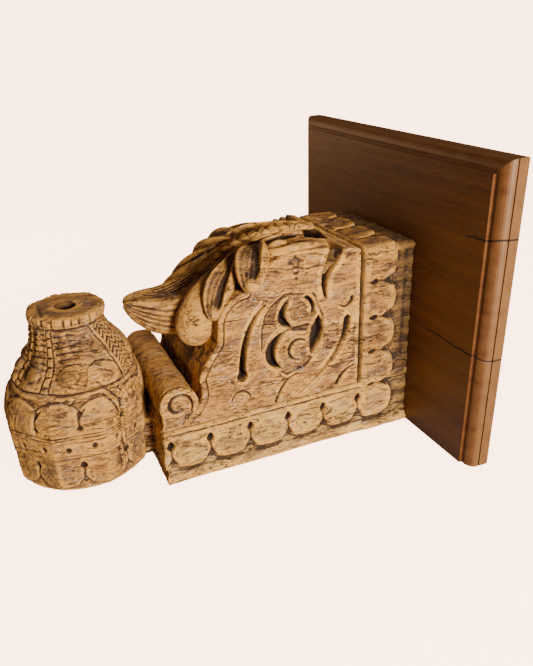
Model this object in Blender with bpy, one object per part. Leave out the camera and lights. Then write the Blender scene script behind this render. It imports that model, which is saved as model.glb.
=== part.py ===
"""Carved wooden corbel with a pendant, fixed to a moulded backboard.

Metres, +Z up. The origin is the centre of the backboard's back face. The corbel stands out
along -Y and rests on its flat bearing face, flush with the board's plain bottom edge. The
corbel's own frame has y = 0 on the board's face and z = 0 on the bearing face.
"""

import math

import bmesh
import bpy
from mathutils import Vector

# Backboard
BOARD_WIDTH = 0.284
BOARD_HEIGHT = 0.240
BOARD_THICKNESS = 0.0192
BOARD_BACK_LAYER = 0.0083
MOULD_WIDTH = 0.0108
MOULD_STEP = 0.0020
MOULD_COVE = 0.0016
MOULD_STEPS = 7
QUIRK_WIDTH = 0.0012
QUIRK_DEPTH = 0.0016

# Corbel block
CORBEL_WIDTH = 0.118
CORBEL_LENGTH = 0.220
CORBEL_HEIGHT = 0.166
BAND_HEIGHT = 0.0445
LEDGE_TOP = 0.051
LEDGE_INSET = 0.0022
BEAD_HEIGHT = 0.0022
PANEL_INSET = 0.0010
SEAT_GAP = 0.0003

# Cap beside the board
CAP_DEPTH = 0.0500
CAP_GROOVE_WIDTH = 0.0018
CAP_GROOVE_DEPTH = 0.0050
CAP_ROUNDING = 0.0090
COLLAR_RECESS = 0.0032
COLLAR_AT_TIP = 0.0180
COLLAR_AT_NOTCH = 0.0330
PETAL_SIDE_COUNT = 4
PETAL_TOP_COUNT = 4
PETAL_STEPS = 6

# Drilled eyes of the petals
EYE_RADIUS = 0.0032
EYE_DEPTH = 0.0060
BAND_EYE_HEIGHT = 0.0350
BAND_EYE_COUNT = 6
BAND_END_MARGIN = 0.0065
BAND_END_EYES = 3
KEYHOLE_FOOT_HEIGHT = 0.0155
KEYHOLE_SHOULDER_HEIGHT = 0.0245
KEYHOLE_FOOT_WIDTH = 0.0130
KEYHOLE_SLIT_WIDTH = 0.0020
KEYHOLE_DEPTH = 0.0024

# Relief depths of the side panel
SLIT_DEPTH = 0.0140
CRESCENT_DEPTH = 0.0110
LINE_DEPTH = 0.0022
CHANNEL_DEPTH = 0.0110

# Leaf
LEAFLET_STEPS = 7
LEAFLET_FULL = 0.68

# Roll in front of the leaf
ROLL_RADIUS = 0.0145
ROLL_STEPS = 18

# Pendant
PENDANT_RADIUS = 0.0520
PENDANT_OUT = 0.0508
PENDANT_BOTTOM = 0.0120
PENDANT_HEIGHT = 0.1286
PENDANT_FACETS = 36
LOWER_PETALS = 9
UPPER_PETALS = 10
SEAT_RADIUS = 0.0283
PEG_HOLE_RADIUS = 0.0073
PEG_HOLE_DEPTH = 0.0300
WEB_WIDTH = 0.0560
WEB_HEIGHT = 0.0360

# The carving is drawn in millimetres on a side this long and this high, and a leaf and a
# pendant of the sizes below, and is stretched with the corbel.
DRAWN_LENGTH = 220.0
DRAWN_LEDGE = 51.0
DRAWN_HEIGHT = 166.0
DRAWN_HALF_WIDTH = 59.0
DRAWN_PENDANT_RADIUS = 52.0
DRAWN_PENDANT_HEIGHT = 128.6

TEAK = (0.36, 0.20, 0.085, 1.0)
BOARD_BROWN = (0.22, 0.105, 0.035, 1.0)


def clear_scene():
    for item in list(bpy.data.objects):
        bpy.data.objects.remove(item, do_unlink=True)


def wood_material(name, colour, roughness):
    material = bpy.data.materials.new(name)
    material.use_nodes = True
    shader = material.node_tree.nodes["Principled BSDF"]
    shader.inputs["Base Color"].default_value = colour
    shader.inputs["Roughness"].default_value = roughness
    shader.inputs["Metallic"].default_value = 0.0
    return material


def new_object(name, bm):
    """Wrap a bmesh as an object whose faces all point out."""
    bmesh.ops.recalc_face_normals(bm, faces=bm.faces)
    mesh = bpy.data.meshes.new(name)
    bm.to_mesh(mesh)
    bm.free()
    item = bpy.data.objects.new(name, mesh)
    bpy.context.scene.collection.objects.link(item)
    return item


def add_loft(bm, rings):
    """Closed tube through rings of equal length, with flat ends."""
    loops = [[bm.verts.new(point) for point in ring] for ring in rings]
    count = len(loops[0])
    for lower, upper in zip(loops, loops[1:]):
        for k in range(count):
            n = (k + 1) % count
            bm.faces.new((lower[k], lower[n], upper[n], upper[k]))
    bm.faces.new(list(reversed(loops[0])))
    bm.faces.new(loops[-1])


def add_prism_x(bm, outline, x0, x1):
    """Outline of (y, z) points extruded along X."""
    add_loft(bm, [[Vector((x, y, z)) for y, z in outline] for x in (x0, x1)])


def add_prism_z(bm, outline, z0, z1):
    """Outline of (x, y) points extruded along Z."""
    add_loft(bm, [[Vector((x, y, z)) for x, y in outline] for z in (z0, z1)])


def add_box(bm, low, high):
    outline = [(low[0], low[1]), (high[0], low[1]), (high[0], high[1]), (low[0], high[1])]
    add_prism_z(bm, outline, low[2], high[2])


def add_drill(bm, centre, direction, radius, depth, sides=8):
    """Round cutter that starts proud of the surface and ends depth below it."""
    axis = Vector(direction).normalized()
    helper = Vector((0, 0, 1)) if abs(axis.z) < 0.9 else Vector((1, 0, 0))
    across = axis.cross(helper).normalized()
    along = axis.cross(across)
    rings = []
    for distance in (0.6 * radius + 0.002, -depth):
        middle = Vector(centre) + axis * distance
        ring = []
        for k in range(sides):
            angle = 2 * math.pi * (k + 0.5) / sides
            ring.append(middle + (across * math.cos(angle) + along * math.sin(angle)) * radius)
        rings.append(ring)
    add_loft(bm, rings)


def arc(centre, radius, start, end, steps):
    """Points on an arc, angles in degrees, in the drawing's (out, up) plane."""
    points = []
    for k in range(steps + 1):
        angle = math.radians(start + (end - start) * k / steps)
        points.append((centre[0] + radius * math.cos(angle), centre[1] + radius * math.sin(angle)))
    return points


def bezier(p0, p1, p2, p3, steps):
    points = []
    for k in range(steps + 1):
        t = k / steps
        a, b, c, d = (1 - t) ** 3, 3 * t * (1 - t) ** 2, 3 * t * t * (1 - t), t ** 3
        points.append((a * p0[0] + b * p1[0] + c * p2[0] + d * p3[0],
                       a * p0[1] + b * p1[1] + c * p2[1] + d * p3[1]))
    return points


def stroke(path, half_widths):
    """Outline of a groove that follows a path, with its half width at each point."""
    left, right = [], []
    for k, (u, v) in enumerate(path):
        before = path[max(k - 1, 0)]
        after = path[min(k + 1, len(path) - 1)]
        du, dv = after[0] - before[0], after[1] - before[1]
        length = math.hypot(du, dv)
        half = half_widths[k]
        left.append((u - dv / length * half, v + du / length * half))
        right.append((u + dv / length * half, v - du / length * half))
    return left + list(reversed(right))


def spread(start, middle, end, count):
    """Half widths that run from start through middle to end."""
    widths = []
    for k in range(count):
        t = 2 * k / (count - 1)
        widths.append(start + (middle - start) * t if t < 1 else middle + (end - middle) * (t - 1))
    return widths


def on_side(out, up):
    """Drawing millimetres to the side panel's (y, z), with up stretched above the ledge."""
    y = -CORBEL_LENGTH * out / DRAWN_LENGTH
    share = (up - DRAWN_LEDGE) / (DRAWN_HEIGHT - DRAWN_LEDGE)
    return y, LEDGE_TOP + (CORBEL_HEIGHT - LEDGE_TOP) * share


def on_leaf(across, out, up):
    y, z = on_side(out, up)
    return Vector((0.5 * CORBEL_WIDTH * across / DRAWN_HALF_WIDTH, y, z))


def side_outline(points):
    return [on_side(out, up) for out, up in points]


def boolean(item, operand, operation, own_overlaps=False):
    modifier = item.modifiers.new(operand.name, 'BOOLEAN')
    modifier.operation = operation
    modifier.solver = 'EXACT'
    modifier.use_self = own_overlaps
    modifier.object = operand


def as_tool(item, parent):
    """Hide a cutter or an added form, which reaches the model only through a Boolean."""
    item.hide_render = True
    item.display_type = 'WIRE'
    item.parent = parent
    return item


def panel_form(bm):
    """Side panels and the mass between them: an S-shaped front and a sloping top."""
    front = bezier((196, 60), (181, 66), (190, 97), (169, 112), 7)
    shoulder = arc((145.5, 122.5), 25.2, -24, 84, 7)
    top = [(139, 158), (130, 166.5), (118, 171), (102, 172.5), (86, 172.5), (72, 168)]
    into_cap = -CAP_DEPTH + 0.004
    outline = [(into_cap, LEDGE_TOP)] + side_outline([(203, 51), (203, 54)] + front + shoulder + top)
    outline += [(into_cap, CORBEL_HEIGHT - 0.001)]
    half = 0.5 * CORBEL_WIDTH - PANEL_INSET
    add_prism_x(bm, outline, -half, half)


def roll_form(bm):
    """The scroll across the front edge, whose outer wrap runs down to the ledge."""
    centre = (204.8, 69.0)
    radius = 1000 * ROLL_RADIUS
    wrap = arc(centre, radius, 170, -55, ROLL_STEPS)
    wrap = [(2 * centre[0] - u, v) for u, v in wrap]
    outline = [(219.0, 51.0)] + wrap + [(198.0, 51.0)]
    half = 0.5 * CORBEL_WIDTH - 0.5 * PANEL_INSET
    add_prism_x(bm, side_outline(outline), -half, half)


def band_form(bm):
    half = 0.5 * CORBEL_WIDTH
    add_box(bm, (-half, -CORBEL_LENGTH, 0), (half, 0, BAND_HEIGHT))


def ledge_form(bm):
    """Step back over the band on both sides and the end."""
    half = 0.5 * CORBEL_WIDTH - LEDGE_INSET
    front = -CORBEL_LENGTH + LEDGE_INSET
    add_box(bm, (-half, front, BAND_HEIGHT - 0.004), (half, -0.004, LEDGE_TOP + 0.001))


def bead_form(bm):
    """Thin bead half way up the ledge."""
    half = 0.5 * CORBEL_WIDTH - 0.4 * LEDGE_INSET
    front = -CORBEL_LENGTH + 0.4 * LEDGE_INSET
    low = BAND_HEIGHT + 0.4 * (LEDGE_TOP - BAND_HEIGHT - BEAD_HEIGHT)
    add_box(bm, (-half, front, low), (half, -0.006, low + BEAD_HEIGHT))


def cap_object():
    """Block beside the board, its top edges worn round."""
    half = 0.5 * CORBEL_WIDTH
    bm = bmesh.new()
    add_box(bm, (-half, -CAP_DEPTH, BAND_HEIGHT - 0.006), (half, -0.0002, CORBEL_HEIGHT))
    rims = [edge for edge in bm.edges
            if all(v.co.z > CORBEL_HEIGHT - 1e-6 for v in edge.verts)
            and abs(edge.verts[0].co.x - edge.verts[1].co.x) < 1e-6]
    bmesh.ops.bevel(bm, geom=rims, offset=CAP_ROUNDING, segments=4, profile=0.5, affect='EDGES')
    return new_object("cap_form", bm)


def leaflet_rings(root, knee, tip, facing, width, thick, scoop):
    """Rings of a leaflet along a curve: round where scoop is 0, hollow with a rolled rim at 1."""
    round_section = ((-1.0, 0.0), (-0.72, 0.75), (0.0, 1.05), (0.72, 0.75), (1.0, 0.0), (0.7, -0.8),
                     (-0.7, -0.8))
    hollow_section = ((-1.0, 0.1), (-0.78, 0.62), (-0.05, 0.0), (0.62, 1.0), (1.0, 0.5), (0.7, -0.8),
                      (-0.7, -0.8))
    rings = []
    for k in range(LEAFLET_STEPS + 1):
        t = 1 - (1 - k / LEAFLET_STEPS) ** 1.3
        middle = root * (1 - t) ** 2 + knee * 2 * t * (1 - t) + tip * t * t
        heading = ((knee - root) * (1 - t) + (tip - knee) * t).normalized()
        side = heading.cross(facing).normalized()
        outward = side.cross(heading).normalized()
        past_full = max((t - LEAFLET_FULL) / (1 - LEAFLET_FULL), 0.0)
        swell = min(0.45 + 0.9 * t, 1.0) * math.sqrt(max(1 - past_full ** 2, 0.03))
        ring = []
        for (a0, h0), (a1, h1) in zip(round_section, hollow_section):
            across, height = a0 + scoop * (a1 - a0), h0 + scoop * (h1 - h0)
            ring.append(middle + side * (across * width * swell) + outward * (height * thick * swell))
        rings.append(ring)
    return rings


def add_leaflet(bm, mirror, root, knee, tip, facing, width, thick, scoop):
    rings = leaflet_rings(on_leaf(mirror * root[0], *root[1:]), on_leaf(mirror * knee[0], *knee[1:]),
                          on_leaf(mirror * tip[0], *tip[1:]),
                          Vector((mirror * facing[0], facing[1], facing[2])),
                          mirror * width, thick, scoop)
    add_loft(bm, rings)


def tip_lobe_form(bm):
    """Boat-shaped tip that curls over the roll: out, top, half width and underside."""
    stations = ((140, 157, 14, 128), (154, 151, 19, 116), (168, 144.5, 24, 106),
                (182, 140, 26, 102.5), (196, 139, 24, 105), (208, 140, 18.5, 112),
                (217, 139.5, 11, 121), (223, 137, 5, 128.5), (226, 134.5, 1.6, 132))
    rings = []
    for out, top, half, low in stations:
        deep = top - low
        section = ((0.0, 0.0), (0.42, 0.03), (0.74, 0.20), (1.0, 0.52), (0.86, 0.82), (0.45, 1.0))
        right = [on_leaf(half * a, out, top - deep * d) for a, d in section]
        left = [on_leaf(-half * a, out, top - deep * d) for a, d in reversed(section[1:])]
        rings.append(right + left)
    add_loft(bm, rings)


def midrib_form(bm):
    """Chain of small overlapping bracts along the leaf's middle."""
    crest = bezier((152, 152), (128, 170), (104, 172.5), (68, 171), 21)
    rings = []
    for k, (out, up) in enumerate(crest):
        swell = 1.0 if k % 3 else 0.62
        half = (3.2 + 2.6 * k / len(crest)) * swell
        rise = 2.6 * swell
        rings.append([on_leaf(half * a, out, up + rise * h - 1.0)
                      for a, h in ((1, -1.4), (1, 0.2), (0.5, 1), (-0.5, 1), (-1, 0.2), (-1, -1.4))])
    add_loft(bm, rings)


def leaflets_form(bm, mirror):
    """Side leaflets, from the full round lobe behind the tip back to the small curl."""
    add_leaflet(bm, mirror, (9, 156, 148), (24, 173, 149), (37, 186, 102), (0.8, -0.35, 0.45),
                0.0165, 0.0105, 0.1)
    add_leaflet(bm, mirror, (8, 138, 157), (35, 157, 163), (51, 171, 126), (0.65, -0.55, 0.55),
                0.0105, 0.0070, 1.0)
    add_leaflet(bm, mirror, (9, 119, 165), (42, 135, 173), (56, 150, 141), (0.65, -0.4, 0.7),
                0.0125, 0.0070, 1.0)
    add_leaflet(bm, mirror, (11, 100, 168), (36, 107, 174), (51, 129, 167), (0.3, -0.1, 0.95),
                0.0100, 0.0055, 0.9)


def valley_cutters(bm):
    """Hollows either side of the midrib, behind the curls."""
    for mirror in (-1, 1):
        rings = []
        for out, up, size in ((66, 178, 3), (74, 177.5, 7), (88, 177, 9), (104, 177.5, 8.5),
                              (118, 176.5, 6), (126, 174.5, 3)):
            rings.append([on_leaf(mirror * (15 + size * math.cos(math.radians(a))), out,
                                  up + size * math.sin(math.radians(a)))
                          for a in range(0, 360, 45)])
        add_loft(bm, rings)


def petal_pitch_up():
    return (CORBEL_HEIGHT - KEYHOLE_FOOT_HEIGHT) / (PETAL_SIDE_COUNT + 1)


def scallop(centre, pitch):
    """Round petal tip towards the board, from one notch to the next, as (distance, place)."""
    reach = COLLAR_AT_NOTCH - COLLAR_AT_TIP
    points = []
    for k in range(PETAL_STEPS + 1):
        share = -0.94 + 1.88 * k / PETAL_STEPS
        points.append((-COLLAR_AT_NOTCH + reach * math.sqrt(1 - share * share),
                       centre + share * 0.5 * pitch))
    return points


def side_collar_cutters(bm):
    """Cutters that leave the petals of the cap standing over a plain collar."""
    half = 0.5 * CORBEL_WIDTH
    pitch = petal_pitch_up()
    low, high = KEYHOLE_FOOT_HEIGHT - 0.004, CORBEL_HEIGHT + 0.01
    edge = [(-COLLAR_AT_TIP, low)]
    for k in range(PETAL_SIDE_COUNT + 1):
        edge += scallop(KEYHOLE_FOOT_HEIGHT + pitch * (k + 0.5), pitch)
    edge += [(edge[-1][0], high)]
    outline = [(0.004, low)] + edge + [(0.004, high)]
    for mirror in (-1, 1):
        add_prism_x(bm, outline, mirror * (half - COLLAR_RECESS), mirror * (half + 0.008))


def top_collar_cutter(bm):
    """The same collar along the cap's top, its petals side by side."""
    half = 0.5 * CORBEL_WIDTH
    pitch = CORBEL_WIDTH / PETAL_TOP_COUNT
    edge = []
    for k in range(PETAL_TOP_COUNT):
        edge += [(x, y) for y, x in scallop(-half + pitch * (k + 0.5), pitch)]
    outline = [(-half - 0.01, 0.004), (-half - 0.01, edge[0][1])] + edge
    outline += [(half + 0.01, edge[-1][1]), (half + 0.01, 0.004)]
    add_prism_z(bm, outline, CORBEL_HEIGHT - COLLAR_RECESS, CORBEL_HEIGHT + 0.01)


def panel_strokes():
    """Grooves and sunk grounds of one side panel as (outline, depth), in the drawing."""
    left_slit = bezier((133, 135), (146, 126), (153, 108), (153.6, 80), 8)
    right_slit = bezier((62.6, 110), (64, 88), (78, 72), (105, 54), 8)
    stem = bezier((108, 71), (116, 72), (122, 62), (126, 52), 4)
    upper_disc, lower_disc = (104.8, 124), (104.8, 92)
    upper_left = arc((109.5, 123.6), 14.2, 95, -72, 8) + arc(upper_disc, 11.4, -58, 76, 6)
    lower_left = arc((118.4, 95.4), 15.2, 62, -76, 8) + arc((107.2, 92), 17.2, -40, 58, 6)
    right_dark = [(88.0, 118.4), (84.8, 112), (84.2, 104), (86, 97), (90, 90), (94, 85.2),
                  (95.4, 92), (95.6, 99), (94.6, 105), (92.4, 110.5)]
    slot = arc(upper_disc, 14.0, 118, 196, 5) + arc((105.6, 124.2), 11.6, 200, 112, 5)
    spiral = arc(lower_disc, 8.6, 128, -98, 9)
    hook = arc((64.8, 127), 6.0, 172, 318, 6)
    arch = arc((155.3, 60.5), 7.6, 0, 180, 7)
    quarter = arc((52.5, 48), 19.5, 18, 88, 6)
    volute = arc((205.5, 68.4), 8.4, 60, 330, 8)
    volute = [(411.0 - u, v) for u, v in volute] + [(195.8, 61.2)]
    return [
        (stroke(left_slit, spread(0.5, 2.1, 2.7, 9)), SLIT_DEPTH),
        (stroke(right_slit, spread(3.0, 1.5, 0.4, 9)), SLIT_DEPTH),
        (stroke(stem, spread(0.6, 0.9, 0.8, 5)), LINE_DEPTH),
        (upper_left, CRESCENT_DEPTH),
        (lower_left, CRESCENT_DEPTH),
        (right_dark, CRESCENT_DEPTH),
        (slot, CRESCENT_DEPTH),
        (stroke(spiral, spread(0.5, 1.3, 0.6, 10)), 2 * LINE_DEPTH),
        (stroke(hook, spread(1.5, 0.9, 0.4, 7)), 2 * LINE_DEPTH),
        (stroke(volute, spread(0.4, 1.2, 0.8, 10)), 2 * LINE_DEPTH),
        (stroke(arch, spread(0.5, 0.7, 0.5, 8)), LINE_DEPTH),
        (stroke(quarter, spread(1.5, 1.1, 0.6, 7)), 1.4 * LINE_DEPTH),
    ]


def side_cutters(bm, mirror):
    """Everything cut into one side panel."""
    face = mirror * (0.5 * CORBEL_WIDTH - PANEL_INSET)
    proud = mirror * 0.004
    for outline, depth in panel_strokes():
        add_prism_x(bm, side_outline(outline), face - mirror * depth, face + proud)
    y, z = on_side(153.6, 80.5)
    add_drill(bm, (face, y, z), (mirror, 0, 0), 0.0041, SLIT_DEPTH)


def groove_cutters(bm):
    """The groove between cap and panel, down both sides."""
    half = 0.5 * CORBEL_WIDTH
    inner, outer = -CAP_DEPTH + 0.5 * CAP_GROOVE_WIDTH, -CAP_DEPTH - 0.5 * CAP_GROOVE_WIDTH
    for mirror in (-1, 1):
        x0, x1 = sorted((mirror * (half - CAP_GROOVE_DEPTH), mirror * (half + 0.004)))
        add_box(bm, (x0, outer, LEDGE_TOP), (x1, inner, CORBEL_HEIGHT + 0.01))


def top_groove_cutter(bm):
    half = 0.5 * CORBEL_WIDTH
    inner, outer = -CAP_DEPTH + 0.5 * CAP_GROOVE_WIDTH, -CAP_DEPTH - 0.5 * CAP_GROOVE_WIDTH
    add_box(bm, (-half - 0.01, outer, CORBEL_HEIGHT - CAP_GROOVE_DEPTH),
            (half + 0.01, inner, CORBEL_HEIGHT + 0.02))


def channel_cutters(bm):
    """The deep S channel behind the leaf, across the top."""
    scale = CORBEL_LENGTH / DRAWN_LENGTH
    wall_out = ((-61, 66), (-40, 66), (-20, 66), (-8, 60), (6, 60), (16, 68), (36, 71), (61, 79))
    wall_in = ((61, 66), (40, 61), (15, 57), (-20, 54.5), (-61, 53.5))
    outline = [(0.5 * CORBEL_WIDTH * x / DRAWN_HALF_WIDTH, -scale * u)
               for x, u in wall_out + wall_in]
    add_prism_z(bm, outline, CORBEL_HEIGHT - CHANNEL_DEPTH, CORBEL_HEIGHT + 0.02)


def side_channel_cutters(bm):
    path = bezier((71, 172), (77, 160), (87, 150), (82, 132), 7)
    outline = side_outline(stroke(path, spread(6.4, 4.0, 1.0, 8)))
    half = 0.5 * CORBEL_WIDTH
    for mirror in (-1, 1):
        add_prism_x(bm, outline, mirror * (half - CHANNEL_DEPTH), mirror * (half + 0.004))


def keyhole_outline(along):
    """Slit under a petal's eye, flaring to the notch between two petal tips."""
    slit, foot = 0.5 * KEYHOLE_SLIT_WIDTH, 0.5 * KEYHOLE_FOOT_WIDTH
    return [(along - slit, BAND_EYE_HEIGHT), (along - slit, KEYHOLE_SHOULDER_HEIGHT),
            (along - foot, KEYHOLE_FOOT_HEIGHT), (along + foot, KEYHOLE_FOOT_HEIGHT),
            (along + slit, KEYHOLE_SHOULDER_HEIGHT), (along + slit, BAND_EYE_HEIGHT)]


def band_eye_places():
    """Eyes along the band, from the cap's groove to just short of the end."""
    run = CORBEL_LENGTH - BAND_END_MARGIN - CAP_DEPTH
    return [-CAP_DEPTH - run * k / (BAND_EYE_COUNT - 1) for k in range(BAND_EYE_COUNT)]


def end_eye_places():
    pitch = CORBEL_WIDTH / BAND_END_EYES
    return [pitch * (k - 0.5 * (BAND_END_EYES - 1)) for k in range(BAND_END_EYES)]


def keyhole_cutters(bm):
    half = 0.5 * CORBEL_WIDTH
    for y in band_eye_places()[:-1]:
        for mirror in (-1, 1):
            add_prism_x(bm, keyhole_outline(y), mirror * (half - KEYHOLE_DEPTH),
                        mirror * (half + 0.004))
    for x in (end_eye_places()[0], end_eye_places()[-1]):
        outline = keyhole_outline(x)
        rings = [[Vector((a, y, z)) for a, z in outline]
                 for y in (-CORBEL_LENGTH - 0.004, -CORBEL_LENGTH + KEYHOLE_DEPTH)]
        add_loft(bm, rings)


def eye_cutters(bm):
    half = 0.5 * CORBEL_WIDTH
    for mirror in (-1, 1):
        for y in band_eye_places():
            add_drill(bm, (mirror * half, y, BAND_EYE_HEIGHT), (mirror, 0, 0), EYE_RADIUS, EYE_DEPTH)
        for k in range(1, PETAL_SIDE_COUNT + 1):
            z = KEYHOLE_FOOT_HEIGHT + petal_pitch_up() * k
            add_drill(bm, (mirror * half, -COLLAR_AT_NOTCH - EYE_RADIUS, z), (mirror, 0, 0),
                      0.9 * EYE_RADIUS, EYE_DEPTH)
    for x in (end_eye_places()[0], end_eye_places()[-1]):
        add_drill(bm, (x, -CORBEL_LENGTH, BAND_EYE_HEIGHT), (0, -1, 0), EYE_RADIUS, EYE_DEPTH)
    pitch = CORBEL_WIDTH / PETAL_TOP_COUNT
    for k in range(1, PETAL_TOP_COUNT):
        x = -half + pitch * k
        add_drill(bm, (x, -COLLAR_AT_NOTCH - 0.3 * EYE_RADIUS, CORBEL_HEIGHT), (0, 0, 1),
                  0.9 * EYE_RADIUS, EYE_DEPTH)


def pendant_lean(up):
    """Drawn millimetres by which the hand-cut neck leans back over the corbel."""
    t = min(max((up - 50) / 45, 0), 1)
    return 3.0 * t * t * (3 - 2 * t) + 3.4 * math.exp(-((up - 96) / 12) ** 2)


def pendant_point(radius, angle, up):
    """Point on the pendant from its drawn radius, angle in degrees and height."""
    scale = PENDANT_RADIUS / DRAWN_PENDANT_RADIUS
    rise = PENDANT_HEIGHT / DRAWN_PENDANT_HEIGHT
    turn = math.radians(angle)
    return Vector((scale * radius * math.cos(turn),
                   -CORBEL_LENGTH - PENDANT_OUT + scale * (pendant_lean(up) + radius * math.sin(turn)),
                   PENDANT_BOTTOM + rise * up))


def pendant_form(bm):
    """Turned profile with nine soft facets below, a bell and a notched disc above."""
    profile = ((0, 49.0, 1.0), (2.5, 51.0, 1.0), (29.5, 51.6, 1.0), (30.5, 53.2, 1.0),
               (42.5, 53.4, 1.0), (43.5, 52.2, 1.0), (45.0, 53.8, 1.0), (47.0, 52.4, 0.8),
               (49.0, 53.9, 0.6), (60.0, 52.6, 0.4), (70.0, 49.6, 0.3), (75.0, 47.4, 0.2),
               (76.5, 45.0, 0.2), (82.0, 43.2, 0.2), (90.0, 39.8, 0.0), (99.0, 34.6, 0.0),
               (108.0, 29.2, 0.0), (114.0, 27.0, 0.0), (121.0, 26.4, 0.0))
    rings = []
    for up, radius, facet in profile:
        ring = []
        for k in range(PENDANT_FACETS):
            angle = 360.0 * k / PENDANT_FACETS
            ripple = facet * 0.9 * math.cos(math.radians(LOWER_PETALS * (angle + 28)))
            ring.append(pendant_point(radius + ripple, angle, up))
        rings.append(ring)
    seat = SEAT_RADIUS * DRAWN_PENDANT_RADIUS / PENDANT_RADIUS
    for up, radius in ((121.4, seat - 0.5), (127.2, seat + 0.4), (DRAWN_PENDANT_HEIGHT, seat - 0.5)):
        ring = []
        for k in range(PENDANT_FACETS):
            notch = 0.9 if k % 3 == 0 and up < 128 else 0.0
            ring.append(pendant_point(radius - notch, 360.0 * k / PENDANT_FACETS, up))
        rings.append(ring)
    add_loft(bm, rings)


def pendant_boss_form(bm):
    """Raised ladder strips and pear bosses on the bell, between the upper petals."""
    for k in range(UPPER_PETALS):
        angle = -24 + 360.0 * k / UPPER_PETALS
        rings = []
        for up, radius in ((77, 44.6), (84, 42.6), (92, 39.0), (100, 34.2), (109, 28.6), (118, 26.2)):
            width = 4.6 * 42 / radius
            rings.append([pendant_point(radius + rise, angle + turn, up)
                          for turn, rise in ((-width, -2.5), (-width, 1.4), (width, 1.4), (width, -2.5))])
        add_loft(bm, rings)


def pendant_pear_form(bm):
    for k in range(UPPER_PETALS):
        angle = -6 + 360.0 * k / UPPER_PETALS
        rings = []
        for up, radius, size in ((79, 44.2, 0.35), (82, 43.2, 0.85), (88, 40.8, 1.0), (94, 37.8, 0.75),
                                 (100, 34.2, 0.3)):
            width = 7.5 * size * 42 / radius
            rings.append([pendant_point(radius + rise, angle + turn * width, up) for turn, rise in
                          ((-1, -3), (-1, 0.2), (-0.5, 2.2 * size), (0.5, 2.2 * size), (1, 0.2), (1, -3))])
        add_loft(bm, rings)


def web_form(bm):
    """Plain wood left between the pendant and the corbel's end."""
    half = 0.5 * WEB_WIDTH
    add_box(bm, (-half, -CORBEL_LENGTH - 0.6 * PENDANT_OUT, PENDANT_BOTTOM + 0.003),
            (half, -CORBEL_LENGTH + 0.006, PENDANT_BOTTOM + WEB_HEIGHT))


def pendant_cutters(bm):
    """Drilled eyes of the pendant's bands, and the slits from eye to notch."""
    for k in range(LOWER_PETALS):
        angle = -8 + 360.0 * k / LOWER_PETALS
        radial_drill(bm, angle, 51.5, 22, 2.6, 6)
        radial_slit(bm, angle, 52, 6, 22, 0.7, 3.2)
    for k in range(2 * LOWER_PETALS):
        radial_drill(bm, -17 + 180.0 * k / LOWER_PETALS, 53.2, 36.5, 1.8, 5)
    for k in range(UPPER_PETALS):
        angle = -6 + 360.0 * k / UPPER_PETALS
        radial_drill(bm, angle, 53.2, 53.5, 2.2, 6)
        radial_slit(bm, angle, 52.5, 53.5, 67, 0.7, -2.4)


def faces_corbel(angle):
    """True where a cut would run into the wood between pendant and corbel."""
    return math.sin(math.radians(angle)) > 0.70


def radial_drill(bm, angle, radius, up, size, depth):
    if faces_corbel(angle):
        return
    turn = math.radians(angle)
    add_drill(bm, pendant_point(radius, angle, up), (math.cos(turn), math.sin(turn), 0),
              0.001 * size, 0.001 * depth, sides=6)


def radial_slit(bm, angle, radius, low, high, narrow, flare):
    """Slit along the pendant; a positive flare widens its foot, a negative one its head."""
    if faces_corbel(angle):
        return
    foot = narrow + max(flare, 0)
    head = narrow + max(-flare, 0)
    middle_up = low + 0.4 * (high - low) if flare > 0 else low + 0.7 * (high - low)
    to_degrees = math.degrees(1.0 / radius)
    rings = []
    for distance in (radius - 2.6, radius + 4):
        rings.append([pendant_point(distance, angle + to_degrees * half, up) for half, up in
                      ((-foot, low), (-narrow, middle_up), (-head, high), (head, high),
                       (narrow, middle_up), (foot, low))])
    add_loft(bm, rings)


def peg_hole_cutter(bm):
    centre = pendant_point(0, 0, DRAWN_PENDANT_HEIGHT)
    add_drill(bm, centre, (0, 0, 1), PEG_HOLE_RADIUS, PEG_HOLE_DEPTH, sides=16)


def make_tool(name, parent, *fillers):
    bm = bmesh.new()
    for filler in fillers:
        filler(bm)
    return as_tool(new_object(name, bm), parent)


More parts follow.
